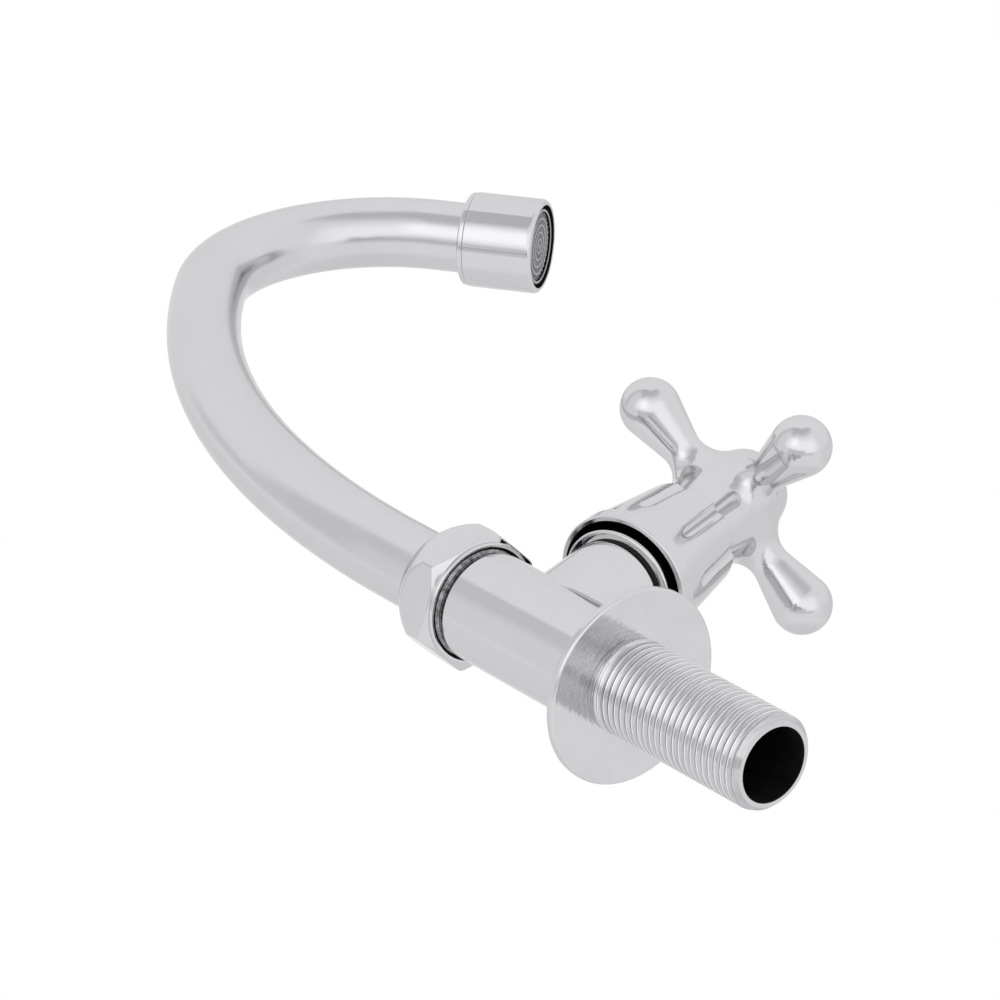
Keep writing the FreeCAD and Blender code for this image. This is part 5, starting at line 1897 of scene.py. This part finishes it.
TABLE = Panel(0.835, 0.0, 185.0, 1.0, -95.0, 1.0, -50.0, 30.0)
TABLE_LEFT = Panel(0.88, 110.0, 50.0, 30.0, -60.0, 20.0, -16.0, 14.0)
TABLE_RIGHT = Panel(0.865, -118.0, 46.0, 34.0, -40.0, 18.0, 4.0, 20.0)
TABLE_FRONT = Panel(0.94, -10.0, 60.0, 50.0, -48.0, 16.0, -16.0, 14.0)
ROOF = Panel(0.64, 0.0, 117.0, 10.0, 63.0, 22.0, 95.0, 1.0)
ROOF_LEFT = Panel(0.63, 82.0, 35.0, 10.0, 50.0, 14.0, 95.0, 1.0)
WALL_LEFT = Panel(0.865, 84.0, 26.0, 16.0, -14.0, 10.0, 58.0, 20.0)
SCREEN_LEFT = Panel(0.73, 110.0, 9.0, 7.0, -8.0, 16.0, 58.0, 20.0)
WALL_RIGHT = Panel(0.945, -70.0, 40.0, 30.0, 4.0, 16.0, 52.0, 26.0)
WINDOW = Panel(1.19, -14.0, 44.0, 36.0, 0.0, 8.0, 44.0, 26.0)
WINDOW_LEFT = Panel(1.16, 45.0, 20.0, 26.0, 12.0, 14.0, 44.0, 26.0)
LAMP_GLARE = Panel(1.36, 31.0, 15.0, 22.0, 18.0, 15.0, 47.0, 18.0)
EDGE_FRONT = Panel(0.73, 20.0, 32.0, 12.0, -11.0, 6.0, 8.0, 9.0)
EDGE_RIGHT = Panel(0.74, -24.0, 14.0, 16.0, -11.0, 5.0, -3.0, 5.0)
EDGE_LEFT = Panel(0.79, 126.0, 12.0, 10.0, -9.0, 5.0, 2.0, 6.0)
BACKDROP = Panel(0.96, 174.0, 9.0, 8.0, -48.0, 8.0, -9.0, 8.0)


@dataclass
class Studio:
    """Pale floor, soft light, white background and the photograph's camera.

    The eye is in millimetres of the part's frame, the floor and the lamp are in metres.
    """

    focal_px: float = 4134.83
    centre_px: Tuple[float, float] = (509.454, 500.118)
    image_px: float = 1000.0
    sensor: float = 36.0
    clip: Tuple[float, float] = (0.01, 200.0)
    eye: Point = (-413.77, 470.08, -579.50)
    right: Point = (0.04505, -0.78159, -0.62216)
    down: Point = (0.89504, 0.30820, -0.32237)
    forward: Point = (0.44371, -0.54233, 0.71344)
    floor_height: float = -1.5
    floor_half: float = 30.0
    floor_tone: Colour = (0.86, 0.86, 0.87)
    floor_white: float = 0.6
    lamp_size: float = 2.0
    lamp_power: float = 12.0
    lamp_place: Point = (0.6, 0.4, 2.2)
    lamp_tilt: Point = (math.radians(-12.0), math.radians(15.0), 0.0)
    ambient: float = 0.75
    tent_up: Point = (-0.99792, -0.06453, 0.0)
    tent_level: float = 0.955
    tent_tone: Colour = (0.993, 0.986, 1.0)
    least_level: float = 0.00001
    panels: Tuple[Panel, ...] = (
        TABLE, TABLE_LEFT, TABLE_RIGHT, TABLE_FRONT, ROOF, ROOF_LEFT, WALL_LEFT, SCREEN_LEFT, WALL_RIGHT,
        WINDOW, WINDOW_LEFT, LAMP_GLARE, EDGE_FRONT, EDGE_RIGHT, EDGE_LEFT, BACKDROP,
    )

    def build(self) -> None:
        """Sets up floor, world, lamp and camera."""
        bpy.context.scene.view_settings.view_transform = "Standard"
        self.add_floor()
        self.add_world()
        self.add_lamp()
        self.add_camera()

    def add_floor(self) -> None:
        """Adds the pale floor, well below the part."""
        half = self.floor_half
        mesh = bpy.data.meshes.new("studio_floor")
        corners = [(-half, -half), (half, -half), (half, half), (-half, half)]
        mesh.from_pydata([(x, y, self.floor_height) for x, y in corners], [], [(0, 1, 2, 3)])
        floor = bpy.data.objects.new("studio_floor", mesh)
        bpy.context.scene.collection.objects.link(floor)
        floor.visible_glossy = False
        material = bpy.data.materials.new("pale_floor")
        material.use_nodes = True
        sheet = Sheet(material.node_tree)
        pale = sheet.node("ShaderNodeBsdfDiffuse", None, {"Color": rgba(self.floor_tone)})
        white = sheet.node("ShaderNodeEmission", None, {"Color": rgba(WHITE), "Strength": 1.0})
        ray = sheet.node("ShaderNodeLightPath")
        seen = ray.beside("Is Camera Ray") + ray.beside("Is Glossy Ray") + ray.beside("Is Transmission Ray")
        share = seen.math("MINIMUM", self.floor_white)
        both = sheet.node("ShaderNodeMixShader", None, {0: share, 1: pale, 2: white})
        sheet.node("ShaderNodeOutputMaterial", None, {"Surface": both})
        mesh.materials.append(material)

    def add_world(self) -> None:
        """Sets the white background, the plain level of light and the panels that the chrome reflects."""
        world = bpy.data.worlds.new("studio")
        bpy.context.scene.world = world
        world.use_nodes = True
        sheet = Sheet(world.node_tree)
        reflected, plain, white = (
            sheet.node("ShaderNodeBackground", None, {"Color": rgba(tone), "Strength": strength})
            for tone, strength in ((self.tent_tone, self.tent(sheet)), (WHITE, self.ambient), (WHITE, 1.0))
        )
        ray = sheet.node("ShaderNodeLightPath")
        glossy = ray.beside("Is Glossy Ray").math("MAXIMUM", ray.beside("Is Transmission Ray"))
        indirect = sheet.node("ShaderNodeMixShader", None, {0: glossy, 1: plain, 2: reflected})
        camera = ray.beside("Is Camera Ray")
        both = sheet.node("ShaderNodeMixShader", None, {0: camera, 1: indirect, 2: white})
        sheet.node("ShaderNodeOutputWorld", None, {"Surface": both})

    def tent(self, sheet: Sheet) -> Wire:
        """Works out how bright the tent is in each direction.

        Args:
            sheet: the world's tree.

        Returns:
            The level that the chrome mirrors.
        """
        up = np.array(self.tent_up)
        toward = -np.array(self.forward)
        toward = toward - up * float(toward @ up)
        toward /= np.linalg.norm(toward)
        side = np.cross(toward, up)
        heading = sheet.node("ShaderNodeTexCoord", None, None, "Generated")
        lift = sheet.dot(heading, up)
        rise = lift.math("ARCSINE")
        level_part = (1.0 - lift * lift).math("MAXIMUM", self.least_level) ** 0.5
        level: Any = self.tent_level
        for panel in self.panels:
            turn = math.radians(panel.turn)
            aim = toward * math.cos(turn) + side * math.sin(turn)
            off = (sheet.dot(heading, aim) / level_part).math("ARCCOSINE")
            level = panel.mask(sheet, off, rise) * (panel.level - level) + level
        return level

    def add_lamp(self) -> None:
        """Adds one large soft lamp overhead."""
        lamp = bpy.data.lights.new("soft_lamp", "AREA")
        lamp.size = self.lamp_size
        lamp.energy = self.lamp_power
        holder = bpy.data.objects.new("soft_lamp", lamp)
        holder.location = self.lamp_place
        holder.rotation_euler = self.lamp_tilt
        holder.visible_glossy = False
        bpy.context.scene.collection.objects.link(holder)

    def add_camera(self) -> None:
        """Adds the camera where the photograph was taken from."""
        camera = bpy.data.cameras.new("photo_camera")
        camera.sensor_width = self.sensor
        camera.lens = self.focal_px * self.sensor / self.image_px
        camera.shift_x = 0.5 - self.centre_px[0] / self.image_px
        camera.shift_y = self.centre_px[1] / self.image_px - 0.5
        camera.clip_start, camera.clip_end = self.clip
        holder = bpy.data.objects.new("photo_camera", camera)
        turn = np.stack([np.array(self.right), -np.array(self.down), -np.array(self.forward)], -1)
        matrix = Matrix(turn.tolist()).to_4x4()
        matrix.translation = [part * MM for part in self.eye]
        holder.matrix_world = matrix
        bpy.context.scene.collection.objects.link(holder)
        bpy.context.scene.camera = holder


def main() -> None:
    """Builds the tap's pieces in order and sets up the studio."""
    logging.basicConfig(level=logging.INFO, format="%(name)s: %(message)s")
    neck = SwanNeck()
    chrome = (TapBody(), UnionNut(), Bonnet(), CrossHandle(), IndexCap(), neck, Aerator(neck))
    for assembly in chrome + (InnerPieces(), Studio()):
        assembly.build()


if __name__ == "__main__":
    main()
